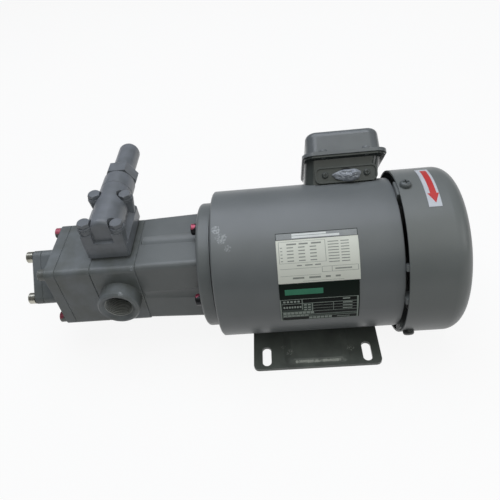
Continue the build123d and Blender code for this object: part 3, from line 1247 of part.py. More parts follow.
# ---------------------------------------------------------------- assembly
NODES = {
    "motor_frame": motor_frame,
    "drive_end_bracket": drive_end_bracket,
    "fan_end_bracket": fan_end_bracket,
    "stator_core": stator_core,
    "stator_windings": stator_windings,
    "motor_rotor": motor_rotor,
    "motor_shaft": motor_shaft,
    "motor_key": motor_key,
    "bearing_outer_rings": lambda: bearing_rings(True),
    "bearing_inner_rings": lambda: bearing_rings(False),
    "bearing_balls": bearing_balls,
    "preload_washer": preload_washer,
    "fan": fan,
    "fan_cover": fan_cover,
    "fan_cover_screws": cover_screws,
    "foot": foot,
    "terminal_box_base": terminal_box_base,
    "terminal_box_gasket": terminal_box_gasket,
    "terminal_box_lid": terminal_box_lid,
    "terminal_box_screws": terminal_box_screws,
    "cable_entry_plate": entry_plate,
    "cable_entry_grommet": entry_grommet,
    "cable_entry_screws": entry_screws,
    "terminal_block": terminal_block,
    "terminal_studs": terminal_studs,
    "rating_plate": rating_plate,
    "pump_plate": pump_plate,
    "rotation_arrow": rotation_arrow,
    "adapter": adapter,
    "flange_bolts": flange_bolts,
    "pump_coupling_hub": lambda: coupling_hub(-1),
    "motor_coupling_hub": lambda: coupling_hub(1),
    "coupling_spider": coupling_spider,
    "port_body": port_body,
    "front_bush": lambda: shaft_bush(HOUSING_FACE + 1, ADAPTER_FACE - 1.5),
    "rear_bush": lambda: shaft_bush(CAP_FACE + 0.5, COVER_FACE - 0.5),
    "shaft_seal": shaft_seal,
    "gear_housing": gear_housing,
    "outer_rotor": outer_rotor,
    "inner_rotor": inner_rotor,
    "pump_shaft": pump_shaft,
    "pump_keys": pump_keys,
    "rear_cover": rear_cover,
    "end_cap_body": end_cap_body,
    "end_cap_cover": end_cap_cover,
    "end_cap_bolts": end_cap_bolts,
    "pump_bolts": pump_bolts,
    "valve_gasket": valve_gasket,
    "valve_body": valve_body,
    "valve_bolts": valve_bolts,
    "valve_washers": valve_washers,
    "relief_piston": relief_piston,
    "relief_spring": relief_spring,
    "spring_seat": spring_seat,
    "valve_bonnet": valve_bonnet,
    "adjusting_screw": adjusting_screw,
    "lock_nut": lock_nut,
    "dome_cap": dome_cap,
}

os.makedirs("parts", exist_ok=True)
for name, make in NODES.items():
    export_step(make(), f"parts/{name}.step")
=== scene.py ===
import bpy
import bmesh
import math
from mathutils import Matrix, Vector, noise


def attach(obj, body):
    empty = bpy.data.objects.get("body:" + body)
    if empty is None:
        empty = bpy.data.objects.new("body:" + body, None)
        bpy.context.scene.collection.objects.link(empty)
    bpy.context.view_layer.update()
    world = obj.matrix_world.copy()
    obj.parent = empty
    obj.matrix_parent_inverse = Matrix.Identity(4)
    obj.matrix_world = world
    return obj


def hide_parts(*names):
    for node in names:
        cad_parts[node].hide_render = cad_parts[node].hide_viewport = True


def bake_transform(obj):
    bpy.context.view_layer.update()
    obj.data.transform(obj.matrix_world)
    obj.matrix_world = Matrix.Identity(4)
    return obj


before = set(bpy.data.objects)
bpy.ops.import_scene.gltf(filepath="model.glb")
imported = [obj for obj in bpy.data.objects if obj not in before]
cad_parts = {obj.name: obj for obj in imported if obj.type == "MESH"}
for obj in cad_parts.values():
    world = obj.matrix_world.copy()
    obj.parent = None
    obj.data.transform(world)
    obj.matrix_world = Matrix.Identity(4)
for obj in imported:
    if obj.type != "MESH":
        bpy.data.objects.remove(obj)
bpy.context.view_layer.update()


# ---------------------------------------------------------------- motor frame
# Barrel rolled from sheet steel, welded along the far side and bored for the stator. It is sprayed
# with a grey machinery enamel, which flows out almost flat and leaves a faint orange peel, and it
# carries pale scuffs near the drive end from handling.
MM = 0.001
SHAFT_HEIGHT = 71.0
FRAME_RADIUS = 64.7


def linear(code):
    """sRGB hex colour as linear RGBA."""
    parts = [int(code[place:place + 2], 16) / 255 for place in (0, 2, 4)]
    return tuple(c / 12.92 if c <= 0.04045 else ((c + 0.055) / 1.055) ** 2.4 for c in parts) + (1.0,)


def add(tree, kind, settings=None, **inputs):
    """Adds a node: settings are its properties, inputs its values or the sockets that feed it."""
    made = tree.nodes.new(kind)
    for key, value in (settings or {}).items():
        setattr(made, key, value)
    for key, value in inputs.items():
        socket = made.inputs[int(key[1:])] if key[0] == "_" else made.inputs[key.replace("_", " ")]
        if isinstance(value, bpy.types.NodeSocket):
            tree.links.new(value, socket)
        else:
            socket.default_value = value
    return made


def surface(name, tone, patch, patch_mm, grain_mm, grain_depth, rough, rough_spread=0.06, edge_mm=0.4,
            marks=(), **shader_values):
    """A finish with two close tones in patches, a fine grain that moves the gloss, and softened edges.
    A grain finer than 0.3 mm would not show, so none is drawn finer. Each mark, a scuff, a dab of
    colour or a painted highlight, is (x, y, z, reach, streak size) in millimetres, then how solid it is
    and in which tone."""
    material = bpy.data.materials.new(name)
    material.use_nodes = True
    tree = material.node_tree
    tree.nodes.clear()
    place = add(tree, "ShaderNodeTexCoord").outputs["Object"]
    cloud = add(tree, "ShaderNodeTexNoise", Vector=place, Scale=1000 / patch_mm, Detail=3.0)
    grain = add(tree, "ShaderNodeTexNoise", Vector=place, Scale=1000 / grain_mm, Detail=2.0)
    spread = add(tree, "ShaderNodeMapRange", Value=cloud.outputs["Fac"], From_Min=0.35, From_Max=0.65)
    colour = add(tree, "ShaderNodeMix", {"data_type": "RGBA"}, Factor=spread.outputs["Result"],
                 _6=linear(tone), _7=linear(patch)).outputs["Result"]
    for x, y, z, reach, streak, solid, mark_tone in marks:
        away = add(tree, "ShaderNodeVectorMath", {"operation": "DISTANCE"}, _0=place,
                   _1=(x * MM, y * MM, z * MM)).outputs["Value"]
        near = add(tree, "ShaderNodeMapRange", Value=away, From_Min=reach * MM,
                   From_Max=reach * MM / 2, To_Min=-0.4, To_Max=solid).outputs["Result"]
        broken = add(tree, "ShaderNodeTexNoise", Vector=place, Scale=1000 / streak, Detail=4.0,
                     Roughness=0.6).outputs["Fac"]
        cover = add(tree, "ShaderNodeMath", {"operation": "ADD"}, _0=near, _1=broken).outputs[0]
        cover = add(tree, "ShaderNodeMapRange", Value=cover, From_Min=0.55,
                    From_Max=0.75).outputs["Result"]
        colour = add(tree, "ShaderNodeMix", {"data_type": "RGBA"}, Factor=cover, _6=colour,
                     _7=linear(mark_tone)).outputs["Result"]
    gloss = add(tree, "ShaderNodeMapRange", Value=grain.outputs["Fac"], From_Min=0.3, From_Max=0.7,
                To_Min=rough - rough_spread, To_Max=rough + rough_spread)
    edge = add(tree, "ShaderNodeBevel", {"samples": 4}, Radius=edge_mm * MM)
    bump = add(tree, "ShaderNodeBump", Strength=1.0, Distance=grain_depth * MM,
               Height=grain.outputs["Fac"], Normal=edge.outputs["Normal"])
    shader = add(tree, "ShaderNodeBsdfPrincipled", Base_Color=colour, Roughness=gloss.outputs["Result"],
                 Normal=bump.outputs["Normal"], **shader_values)
    add(tree, "ShaderNodeOutputMaterial", Surface=shader.outputs["BSDF"])
    return material


def wear(material, *names):
    """Gives CAD nodes their finish."""
    for name in names:
        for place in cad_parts[name].material_slots:
            place.material = material


barrel_enamel = surface(
    "grey_enamel_on_rolled_sheet", "6c7071", "747879", 60, 1.8, 0.006, 0.38, 0.02,
    marks=((31, -71, 127.5, 8, 1.6, 0.12, "a3a8a9"), (24, -75, 131, 6, 1.2, 0.14, "afb3b5"),
           (38, -66, 123, 5, 1.2, 0.12, "989d9e")))
wear(barrel_enamel, "motor_frame")

# ---------------------------------------------------------------- stator, rotor and shaft
# Punched electrical-steel laminations with enamelled copper coils, varnished into tied rings, and a
# die-cast cage rotor pressed on a ground shaft that runs in two greased ball bearings.
laminations = surface("varnished_electrical_steel", "3d3a38", "47433f", 8, 0.5, 0.05, 0.45,
                      Metallic=0.7)
copper_coils = surface("varnished_copper_wire", "8a4a22", "9c5a2c", 6, 1.0, 0.35, 0.35, 0.08,
                       Metallic=0.6)
cage_rotor = surface("turned_laminations_and_cast_cage", "6e6e6e", "787877", 10, 0.5, 0.03, 0.4,
                     Metallic=1.0)
ground_steel = surface("ground_steel", "9b9b9a", "a4a4a2", 12, 0.3, 0.004, 0.26, 0.05, Metallic=1.0)
wear(laminations, "stator_core")
wear(copper_coils, "stator_windings")
wear(cage_rotor, "motor_rotor")
wear(ground_steel, "motor_shaft", "motor_key", "bearing_outer_rings", "bearing_inner_rings",
     "bearing_balls")

# ---------------------------------------------------------------- end brackets
# Aluminium shields, gravity cast and turned, spigoted into both ends of the frame. They get the same
# enamel over a cast skin, which stays a little rough under the paint. A wave washer of blued spring
# steel loads the bearings.
cast_enamel = surface("grey_enamel_on_casting", "6a6e6e", "717575", 34, 1.4, 0.05, 0.40, 0.06)
spring_steel = surface("blued_spring_steel", "4b4d52", "585a5f", 5, 0.4, 0.005, 0.3, Metallic=1.0)
wear(cast_enamel, "drive_end_bracket", "fan_end_bracket")
wear(spring_steel, "preload_washer")

# ---------------------------------------------------------------- fan and fan cover
# The fan is moulded in black glass-filled nylon, matt from its filler. The cover is a deep-drawn
# sheet cap with air slots, sprayed with the frame and held by three painted pan-head screws. The lower
# near one is drawn darker.
fan_nylon = surface("glass_filled_nylon", "202123", "292a2c", 9, 0.8, 0.02, 0.55)
cover_enamel = surface("grey_enamel_on_drawn_cap", "6f7372", "757978", 50, 1.8, 0.006, 0.38, 0.02)
screw_enamel = surface("grey_enamel_on_screws", "5b6061", "666b6c", 5, 0.7, 0.03, 0.38,
                       marks=((61.5, 77, 35.5, 9, 2.0, 0.5, "2a2d2c"),))
wear(fan_nylon, "fan")
wear(cover_enamel, "fan_cover")
wear(screw_enamel, "fan_cover_screws")

# ---------------------------------------------------------------- foot
# Pressed plate of 3 mm sheet steel under the frame, dipped and then sprayed from above, with pale dust
# on its flat pads. Along the front bend a painted highlight is drawn, as a row of pale marks that run
# together.
BEND_X, BEND_HEIGHT = 64.9, 4.7
BEND_START, BEND_END, BEND_STEP = -18, 20, 2
bend_painted_highlight = tuple((BEND_X, along, BEND_HEIGHT, 2.3, 5.0, 0.24, "b9bdb6")
                    for along in range(BEND_START, BEND_END + 1, BEND_STEP))
pad_dust = ((54.5, -24.0, 6.0, 6, 1.2, 0.08, "b3b7b1"), (51.8, 31.0, 6.0, 8, 1.4, 0.08, "a6aaa4"),
            (47.0, -30.0, 5.0, 5, 1.0, 0.06, "9da19c"))
foot_enamel = surface("grey_enamel_on_pressed_foot", "5f6460", "6f7470", 20, 1.6, 0.01, 0.22, 0.04,
                      marks=bend_painted_highlight + pad_dust)
wear(foot_enamel, "foot")

# ---------------------------------------------------------------- terminal box
# Deep-drawn steel box and pressed lid on a black rubber gasket, held by four painted screws. The box,
# its cable entry plate and their screws get a darker tone as painted shade under the lid's rim, and are
# glossier.
# Inside, a brown phenolic block carries three brass studs.
box_enamel = surface("grey_enamel_on_pressed_lid", "6c7072", "74787a", 30, 1.8, 0.008, 0.22, 0.03)
box_painted_shade_enamel = surface("grey_enamel_with_painted_shade_on_drawn_box", "3d4240", "474c4a", 26, 1.8, 0.008, 0.14, 0.03)
rubber = surface("black_rubber", "141414", "1c1c1c", 12, 0.6, 0.02, 0.7)
phenolic = surface("moulded_phenolic", "2e1e16", "38261c", 7, 0.6, 0.01, 0.42)
brass = surface("turned_brass", "b08a45", "a57f3c", 4, 0.4, 0.004, 0.3, Metallic=1.0)
wear(box_enamel, "terminal_box_lid", "terminal_box_screws")
wear(box_painted_shade_enamel, "terminal_box_base", "cable_entry_plate", "cable_entry_screws")
wear(rubber, "terminal_box_gasket", "cable_entry_grommet")
wear(phenolic, "terminal_block")
wear(brass, "terminal_studs")

# ---------------------------------------------------------------- film over the cable entry
# A scrap of thin polythene, bunched over the cable hole to keep dirt out. It is limp and milky, so
# its creases and folds catch the light. It is a domed disc of rings and spokes, raised in soft folds
# and in sharper creases that die out at its edge.
ENTRY_CENTRE = Vector((-30.58, 34.5, 135.7))
ENTRY_ALONG = Vector((0, 1, 0))
ENTRY_OUT = Vector((0.7321, 0, 0.6810))
ENTRY_UP = Vector((-0.6810, 0, 0.7321))
FILM_ALONG, FILM_UP, FILM_OUT = 2.6, -1.3, 3.2     # middle of the film from that of the hole
FILM_HALF_LENGTH, LENGTH_TAPER = 12.0, 2.6
FILM_HALF_HEIGHT, HEIGHT_TAPER = 5.2, 0.7
FILM_BULGE, BULGE_TAPER = 5.2, 1.8
FOLD_DEPTH, CREASE_DEPTH = 1.7, 1.3
FILM_THICKNESS = 0.08
FILM_RINGS, FILM_SPOKES = 22, 72


def enter(name, mesh):
    """Puts a finished mesh in the scene as an object."""
    made = bpy.data.objects.new(name, mesh)
    bpy.context.scene.collection.objects.link(made)
    return made


film_shape = bmesh.new()
grid = []
for ring in range(FILM_RINGS + 1):
    along = ring / FILM_RINGS
    row = []
    for spoke in range(FILM_SPOKES if ring else 1):
        turn = 2 * math.pi * spoke / FILM_SPOKES
        side, rise = math.cos(turn) * along, math.sin(turn) * along
        fold = noise.noise(Vector((side * 2.3, rise * 1.9, 1.7))) * FOLD_DEPTH
        crease = abs(noise.noise(Vector((side * 4.6 + 4, rise * 3.4, 0.3)))) * CREASE_DEPTH
        dome = (FILM_BULGE + BULGE_TAPER * side) * math.sqrt(max(0.0, 1 - along ** 2.2))
        height = dome + (fold + crease) * (1 - along ** 4)
        ragged = 1 + 0.06 * math.sin(3 * turn + 0.6) + 0.03 * math.sin(7 * turn)
        half_length = FILM_HALF_LENGTH - LENGTH_TAPER * math.cos(turn)
        half_height = FILM_HALF_HEIGHT + HEIGHT_TAPER * side
        point = (ENTRY_CENTRE + ENTRY_ALONG * (FILM_ALONG + half_length * side * ragged)
                 + ENTRY_UP * (FILM_UP + half_height * rise * ragged)
                 + ENTRY_OUT * (FILM_OUT + height))
        row.append(film_shape.verts.new(point * MM))
    grid.append(row)
for spoke in range(FILM_SPOKES):
    after = (spoke + 1) % FILM_SPOKES
    film_shape.faces.new((grid[0][0], grid[1][spoke], grid[1][after]))
    for ring in range(1, FILM_RINGS):
        film_shape.faces.new((grid[ring][spoke], grid[ring + 1][spoke], grid[ring + 1][after],
                              grid[ring][after]))
bmesh.ops.recalc_face_normals(film_shape, faces=film_shape.faces)
film_mesh = bpy.data.meshes.new("entry_film")
film_shape.to_mesh(film_mesh)
film_shape.free()
film = enter("entry_film", film_mesh)
thin = film.modifiers.new("thickness", "SOLIDIFY")
thin.thickness = FILM_THICKNESS * MM
thin.offset = -1
polythene = surface("crumpled_polythene", "a9aeb6", "c3c8cf", 3, 0.9, 0.08, 0.12, 0.05, edge_mm=0.1,
                    Alpha=0.72, Transmission_Weight=0.15, IOR=1.51)
film_mesh.materials.append(polythene)
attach(film, "unit")

# ---------------------------------------------------------------- plates and their printing
# Two thin aluminium plates bent round the frame: a cream one with a bare metallic strip along its top
# and a dark green one under it. The printing is plain rules, boxes and bars in thin ink. A plate is
# its outer radius, its lower and upper angle round the shaft, and its two ends along the shaft.
PLATE_THICKNESS = 0.5
RATING_PLATE = (FRAME_RADIUS + PLATE_THICKNESS, 26.3, 61.3, -28.4, 35.0)
PUMP_PLATE = (FRAME_RADIUS + PLATE_THICKNESS, -7.0, 25.8, -28.4, 34.0)
FACET = 2.0                                        # widest step round the shaft, in degrees
FIRST_INK, SECOND_INK, THIRD_INK = 0.03, 0.06, 0.09


def printed(name, plate, areas, ink, lift=FIRST_INK):
    """Thin patches of ink on a curved plate, where each area is (left, right, top, bottom) in parts of
    the plate. A higher lift lays them over the ink below."""
    radius, low, high, start, end = plate
    shape = bmesh.new()
    for left, right, top, bottom in areas:
        first, last = high - (high - low) * top, high - (high - low) * bottom
        steps = max(1, math.ceil((first - last) / FACET))
        rows = []
        for step in range(steps + 1):
            angle = math.radians(first + (last - first) * step / steps)
            x = (radius + lift) * math.cos(angle)
            z = SHAFT_HEIGHT + (radius + lift) * math.sin(angle)
            rows.append([shape.verts.new((x * MM, (start + (end - start) * part) * MM, z * MM))
                         for part in (left, right)])
        for above, below in zip(rows, rows[1:]):
            shape.faces.new((above[0], below[0], below[1], above[1]))
    mesh = bpy.data.meshes.new(name)
    shape.to_mesh(mesh)
    shape.free()
    mesh.materials.append(ink)
    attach(enter(name, mesh), "unit")


plate_cream = surface("cream_printed_aluminium", "e3e5da", "e8eadf", 20, 0.8, 0.004, 0.42)
plate_green = surface("dark_green_printed_aluminium", "0a1410", "0e1a14", 26, 0.8, 0.004, 0.5,
                      Specular_IOR_Level=0.12)
bare_strip = surface("clear_lacquered_aluminium", "8f9394", "999d9e", 18, 0.6, 0.004, 0.25)
silver_bar = surface("silver_ink", "dfe2e1", "e6e9e7", 6, 0.5, 0.004, 0.34)
grey_ink = surface("grey_ink", "8c9089", "969a92", 5, 0.5, 0.003, 0.45)
black_ink = surface("black_ink", "050a08", "090e0c", 12, 0.8, 0.003, 0.5, Specular_IOR_Level=0.12)
dull_ink = surface("dull_green_ink", "333d38", "3d4842", 14, 0.8, 0.003, 0.5,
                   Specular_IOR_Level=0.2)
green_ink = surface("mid_green_ink", "43866a", "4b8f72", 14, 0.8, 0.003, 0.5,
                    Specular_IOR_Level=0.2)
pale_ink = surface("pale_ink", "a3ada5", "adb7af", 5, 0.5, 0.003, 0.5, Specular_IOR_Level=0.2)
wear(plate_cream, "rating_plate")
wear(plate_green, "pump_plate")
printed("rating_strip", RATING_PLATE, [(0.0, 1.0, 0.0, 0.135)], bare_strip)
printed("rating_strip_bars", RATING_PLATE, [(0.20, 0.62, 0.022, 0.058), (0.20, 0.78, 0.068, 0.112)],
        silver_bar, SECOND_INK)
printed("rating_strip_edges", RATING_PLATE,
        [(0.0, 1.0, -0.004, 0.008), (0.0, 1.0, 0.130, 0.138), (0.0, 0.006, 0, 0.135),
         (0.994, 1.0, 0, 0.135)], black_ink, THIRD_INK)

# The table's frame, single rules and a divided box, then the table's columns with their row numbers,
# the list at its right, and the bars that stand for headings and values.
rating_rules = [(0.03, 0.60, 0.175, 0.180), (0.595, 0.60, 0.175, 0.60), (0.03, 0.60, 0.595, 0.60),
                (0.03, 0.035, 0.175, 0.60), (0.03, 0.53, 0.705, 0.711), (0.54, 0.98, 0.695, 0.701),
                (0.54, 0.98, 0.800, 0.806), (0.54, 0.545, 0.695, 0.806),
                (0.975, 0.98, 0.695, 0.806), (0.66, 0.665, 0.695, 0.806),
                (0.03, 0.53, 0.845, 0.850), (0.30, 0.80, 0.965, 0.970)]
rating_rules += [(0.13 + 0.14 * column, 0.21 + 0.14 * column,
                  0.285 + 0.065 * line, 0.305 + 0.065 * line)
                 for column in range(3) for line in range(5)]
rating_rules += [(0.05, 0.075, 0.285 + 0.065 * line, 0.30 + 0.065 * line) for line in range(5)]
rating_rules += [(0.63 + 0.155 * column, 0.76 + 0.125 * column,
                  0.215 + 0.056 * line, 0.232 + 0.056 * line)
                 for column in range(2) for line in range(8)]
rating_rules += [(0.13, 0.25, 0.215, 0.245), (0.28, 0.39, 0.215, 0.245), (0.43, 0.55, 0.215, 0.245),
                 (0.24, 0.30, 0.640, 0.662), (0.34, 0.43, 0.640, 0.662), (0.46, 0.53, 0.640, 0.662),
                 (0.18, 0.32, 0.880, 0.915), (0.38, 0.52, 0.880, 0.915), (0.58, 0.64, 0.880, 0.915),
                 (0.70, 0.76, 0.880, 0.915), (0.70, 0.90, 0.740, 0.765)]
printed("rating_rules", RATING_PLATE, rating_rules, grey_ink)

# The green plate has a bar at its head, then a panel of dark fields with pale rules between them and
# rows of short bars for the words in them.
printed("pump_plate_panel", PUMP_PLATE, [(0.02, 0.98, 0.36, 0.985)], dull_ink)
printed("pump_plate_header", PUMP_PLATE, [(0.07, 0.55, 0.12, 0.25)], green_ink, SECOND_INK)
fields = [(0.03, 0.27, 0.375, 0.465), (0.29, 0.96, 0.375, 0.465), (0.42, 0.96, 0.49, 0.70),
          (0.03, 0.27, 0.49, 0.64), (0.43, 0.97, 0.72, 0.79), (0.03, 0.97, 0.885, 0.975)]
printed("pump_plate_bars", PUMP_PLATE, fields, black_ink, SECOND_INK)
pump_rules = [(0.0, 0.012, 0.36, 1.0), (0.97, 0.985, 0.36, 1.0), (0.0, 0.985, 0.985, 0.998),
              (0.40, 0.41, 0.48, 0.71), (0.275, 0.283, 0.37, 0.65), (0.67, 0.675, 0.48, 0.71)]
pump_rules += [(0.02, 0.97, at, at + 0.010) for at in (0.36, 0.475, 0.71, 0.805, 0.865)]
pump_rules += [(0.41, 0.97, 0.545, 0.553), (0.41, 0.97, 0.625, 0.633)]
pump_rules += [(0.30 + 0.05 * part, 0.335 + 0.05 * part, 0.505 + 0.07 * line, 0.54 + 0.07 * line)
               for part in range(2) for line in range(3)]
pump_rules += [(0.79, 0.88, 0.395, 0.425), (0.79, 0.91, 0.50, 0.525), (0.79, 0.91, 0.58, 0.605),
               (0.79, 0.91, 0.66, 0.685), (0.72, 0.88, 0.925, 0.945)]

# Each row is its left end, its pitch, the width of a bar, its top, its bottom and how many bars.
word_rows = ((0.04, 0.045, 0.030, 0.40, 0.445, 5), (0.04, 0.034, 0.022, 0.545, 0.60, 7),
             (0.03, 0.050, 0.042, 0.722, 0.785, 8), (0.03, 0.055, 0.048, 0.818, 0.860, 6),
             (0.36, 0.050, 0.042, 0.895, 0.965, 6))
for left, pitch, width, top, bottom, count in word_rows:
    pump_rules += [(left + pitch * part, left + width + pitch * part, top, bottom)
                   for part in range(count)]
printed("pump_plate_rules", PUMP_PLATE, pump_rules, pale_ink, THIRD_INK)

# ---------------------------------------------------------------- rotation arrow
# White vinyl label across the top of the fan cover, printed with one red arrow that shows which way
# the shaft turns.
vinyl = surface("white_vinyl", "c8ccd2", "ced2d8", 10, 0.8, 0.004, 0.36)
red_ink = surface("red_ink_on_vinyl", "c93a3c", "cf423c", 9, 0.8, 0.003, 0.38)
wear(vinyl, "rotation_arrow")
COVER_RADIUS = 70.8
LABEL_AND_INK = 0.26                                    # thickness
TAIL_ANGLE, TAIL_STEP, TAIL_STEPS = 108.0, 1.25, 23     # degrees round the shaft
TAIL_LOW, TAIL_HIGH = 93.3, 98.1                        # edges, along the shaft
HEAD_ANGLE, HEAD_STEP, HEAD_STEPS = 80.49, 0.96, 9
HEAD_LOW, HEAD_LOW_STEP = 91.1, 0.59
HEAD_HIGH, HEAD_HIGH_STEP = 99.9, 0.49
arrow_shape = bmesh.new()
outline = [(TAIL_ANGLE - TAIL_STEP * step, TAIL_LOW, TAIL_HIGH) for step in range(TAIL_STEPS)]
outline += [(HEAD_ANGLE - HEAD_STEP * step, HEAD_LOW + HEAD_LOW_STEP * step,
             HEAD_HIGH - HEAD_HIGH_STEP * step) for step in range(HEAD_STEPS)]
rows = []
for angle, low, high in outline:
    turn = math.radians(angle)
    x = (COVER_RADIUS + LABEL_AND_INK) * math.cos(turn)
    z = SHAFT_HEIGHT + (COVER_RADIUS + LABEL_AND_INK) * math.sin(turn)
    rows.append([arrow_shape.verts.new((x * MM, low * MM, z * MM)),
                 arrow_shape.verts.new((x * MM, high * MM, z * MM))])
for before, after in zip(rows, rows[1:]):
    arrow_shape.faces.new((before[0], after[0], after[1], before[1]))
arrow_mesh = bpy.data.meshes.new("red_arrow")
arrow_shape.to_mesh(arrow_mesh)
arrow_shape.free()
arrow_mesh.materials.append(red_ink)
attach(enter("red_arrow", arrow_mesh), "unit")

# ---------------------------------------------------------------- adapter and coupling
# Cast aluminium housing between pump and motor. Inside, two steel jaw hubs drive through a
# polyurethane star. Its flange bolts are black-oxide steel with a dab of pink torque paint.
black_oxide = surface(
    "black_oxide_steel", "17181a", "222327", 4, 0.4, 0.008, 0.34, 0.07, Metallic=0.5,
    marks=((1.5, -98.5, 118.6, 4.5, 2.0, 0.4, "a94d61"), (41.0, -98.5, 75.6, 4.5, 2.0, 0.4, "a1465a")))
star = surface("cast_polyurethane", "a8231c", "b22a20", 8, 0.8, 0.01, 0.42)
wear(cast_enamel, "adapter")
wear(black_oxide, "flange_bolts")
wear(star, "coupling_spider")
wear(ground_steel, "pump_coupling_hub", "motor_coupling_hub")

# ---------------------------------------------------------------- pump
# Grey iron castings, machined where they meet and enamelled as one block, so that a dark line stays
# at each joint. Sintered rotors turn inside on a ground shaft in bronze bushes, behind a rubber seal.
# The long bolts are zinc plated, oversprayed, and dabbed with the same torque paint.
# Two pale marks on the enamel are painted highlights, on the upper rim of the delivery boss and on the
# near top edge of the port body.
pump_enamel = surface(
    "grey_enamel_on_iron", "626664", "757a7d", 20, 1.5, 0.05, 0.40, 0.06, edge_mm=0.5,
    marks=((46, -160, 90, 6, 2.0, 0.15, "9a9ea0"), (33, -150, 104, 5, 2.0, 0.15, "8b8f92")))
sintered = surface("sintered_steel", "6f6d6a", "787572", 5, 0.35, 0.02, 0.4, Metallic=1.0)
bronze = surface("sintered_bronze", "9a6f3c", "8b6334", 6, 0.5, 0.01, 0.35, Metallic=1.0)
dull_zinc = surface(
    "oversprayed_zinc_plate", "6e706c", "646663", 3, 0.6, 0.02, 0.36, 0.08, Metallic=0.15,
    marks=((-26.0, -230, 103.5, 5.5, 2.0, 0.5, "b8596b"), (29.0, -231, 48.5, 5.5, 2.0, 0.5, "ad5264")))
bright_zinc = surface("bright_zinc_plate", "b9b7ac", "a6a498", 4, 0.5, 0.01, 0.3, 0.08, Metallic=1.0)
wear(pump_enamel, "port_body", "gear_housing", "rear_cover", "end_cap_body", "end_cap_cover")
wear(sintered, "outer_rotor", "inner_rotor")
wear(ground_steel, "pump_shaft", "pump_keys")
wear(bronze, "front_bush", "rear_bush")
wear(rubber, "shaft_seal")
wear(dull_zinc, "pump_bolts")
wear(bright_zinc, "end_cap_bolts", "adjusting_screw", "lock_nut")

# ---------------------------------------------------------------- pipe threads in the ports
# Both ports are tapped for 3/4 inch taper pipe, 14 threads to the inch. The tap leaves the iron bare
# and bright on the crests.
PORT_STATION = -166.5
THREAD_RADIUS = 12.0
THREAD_PITCH = 25.4 / 14
THREAD_LENGTH = 17.0
THREAD_CREST = 0.62
THREAD_END = 44.6             # shaft's plane to the last turn at a port's mouth
threads = bpy.data.node_groups.new("pipe_thread", "GeometryNodeTree")
thread_inputs = {}
for label, value in (("Radius", THREAD_RADIUS), ("Pitch", THREAD_PITCH), ("Length", THREAD_LENGTH),
                     ("Crest", THREAD_CREST), ("Outer end", THREAD_END)):
    socket = threads.interface.new_socket(label, in_out="INPUT", socket_type="NodeSocketFloat")
    socket.default_value = value * MM
    thread_inputs[label] = socket.identifier
threads.interface.new_socket("Geometry", in_out="OUTPUT", socket_type="NodeSocketGeometry")
given = add(threads, "NodeGroupInput")
turns = add(threads, "ShaderNodeMath", {"operation": "DIVIDE"}, _0=given.outputs["Length"],
            _1=given.outputs["Pitch"])
helix = add(threads, "GeometryNodeCurveSpiral", Resolution=48, Rotations=turns.outputs[0],
            Start_Radius=given.outputs["Radius"], End_Radius=given.outputs["Radius"],
            Height=given.outputs["Length"])
crest = add(threads, "GeometryNodeCurvePrimitiveCircle", Resolution=4, Radius=given.outputs["Crest"])
ridge = add(threads, "GeometryNodeCurveToMesh", Curve=helix.outputs["Curve"],
            Profile_Curve=crest.outputs["Curve"], Fill_Caps=True)
laid = add(threads, "GeometryNodeTransform", Geometry=ridge.outputs["Mesh"],
           Rotation=(0, math.pi / 2, 0))
inner_end = add(threads, "ShaderNodeMath", {"operation": "SUBTRACT"}, _0=given.outputs["Outer end"],
                _1=given.outputs["Length"])
place = add(threads, "ShaderNodeCombineXYZ", X=inner_end.outputs[0], Y=PORT_STATION * MM,
            Z=SHAFT_HEIGHT * MM)
set_in = add(threads, "GeometryNodeTransform", Geometry=laid.outputs["Geometry"],
             Translation=place.outputs[0])
bare_iron = surface("tapped_iron", "a3a5a2", "adafac", 4, 0.4, 0.01, 0.4, 0.06, Metallic=0.1)
real = add(threads, "GeometryNodeRealizeInstances", Geometry=set_in.outputs["Geometry"])
finished = add(threads, "GeometryNodeSetMaterial", Geometry=real.outputs["Geometry"],
               Material=bare_iron)
add(threads, "NodeGroupOutput", Geometry=finished.outputs["Geometry"])
for name, end in (("delivery_thread", THREAD_END), ("suction_thread", THREAD_LENGTH - THREAD_END)):
    ridges = enter(name, bpy.data.meshes.new(name))
    maker = ridges.modifiers.new("thread", "NODES")
    maker.node_group = threads
    maker[thread_inputs["Outer end"]] = end * MM
    evaluated = ridges.evaluated_get(bpy.context.evaluated_depsgraph_get())
    plain = bpy.data.meshes.new_from_object(evaluated)
    ridges.modifiers.clear()
    ridges.data = plain
    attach(ridges, "unit")

# ---------------------------------------------------------------- relief valve
# Iron casting bolted on the port body through a paper gasket, with a screwed bonnet and a long dome
# cap. It was painted with its bolts in place. The piston is ground, its spring oil tempered.
valve_enamel = surface("grey_enamel_on_valve", "6d7175", "7a7e84", 14, 1.5, 0.05, 0.34, 0.06,
                       edge_mm=0.6)
gasket_paper = surface("compressed_fibre_gasket", "2b2c2a", "343533", 6, 0.5, 0.03, 0.6)
wear(valve_enamel, "valve_body", "valve_bonnet", "dome_cap", "valve_bolts", "valve_washers")
wear(gasket_paper, "valve_gasket")
wear(ground_steel, "relief_piston", "spring_seat")

# The coil bears on the fixed seat at one end and in the piston at the other. It is drawn as a copy of
# the solid spring's mesh in spring steel, and the solid spring is hidden.
solid_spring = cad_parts["relief_spring"]
coil_mesh = solid_spring.data.copy()
coil_mesh.transform(solid_spring.matrix_world)
coil_mesh.materials.clear()
coil_mesh.materials.append(spring_steel)
coil = enter("relief_coil", coil_mesh)
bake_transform(coil)
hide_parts("relief_spring")

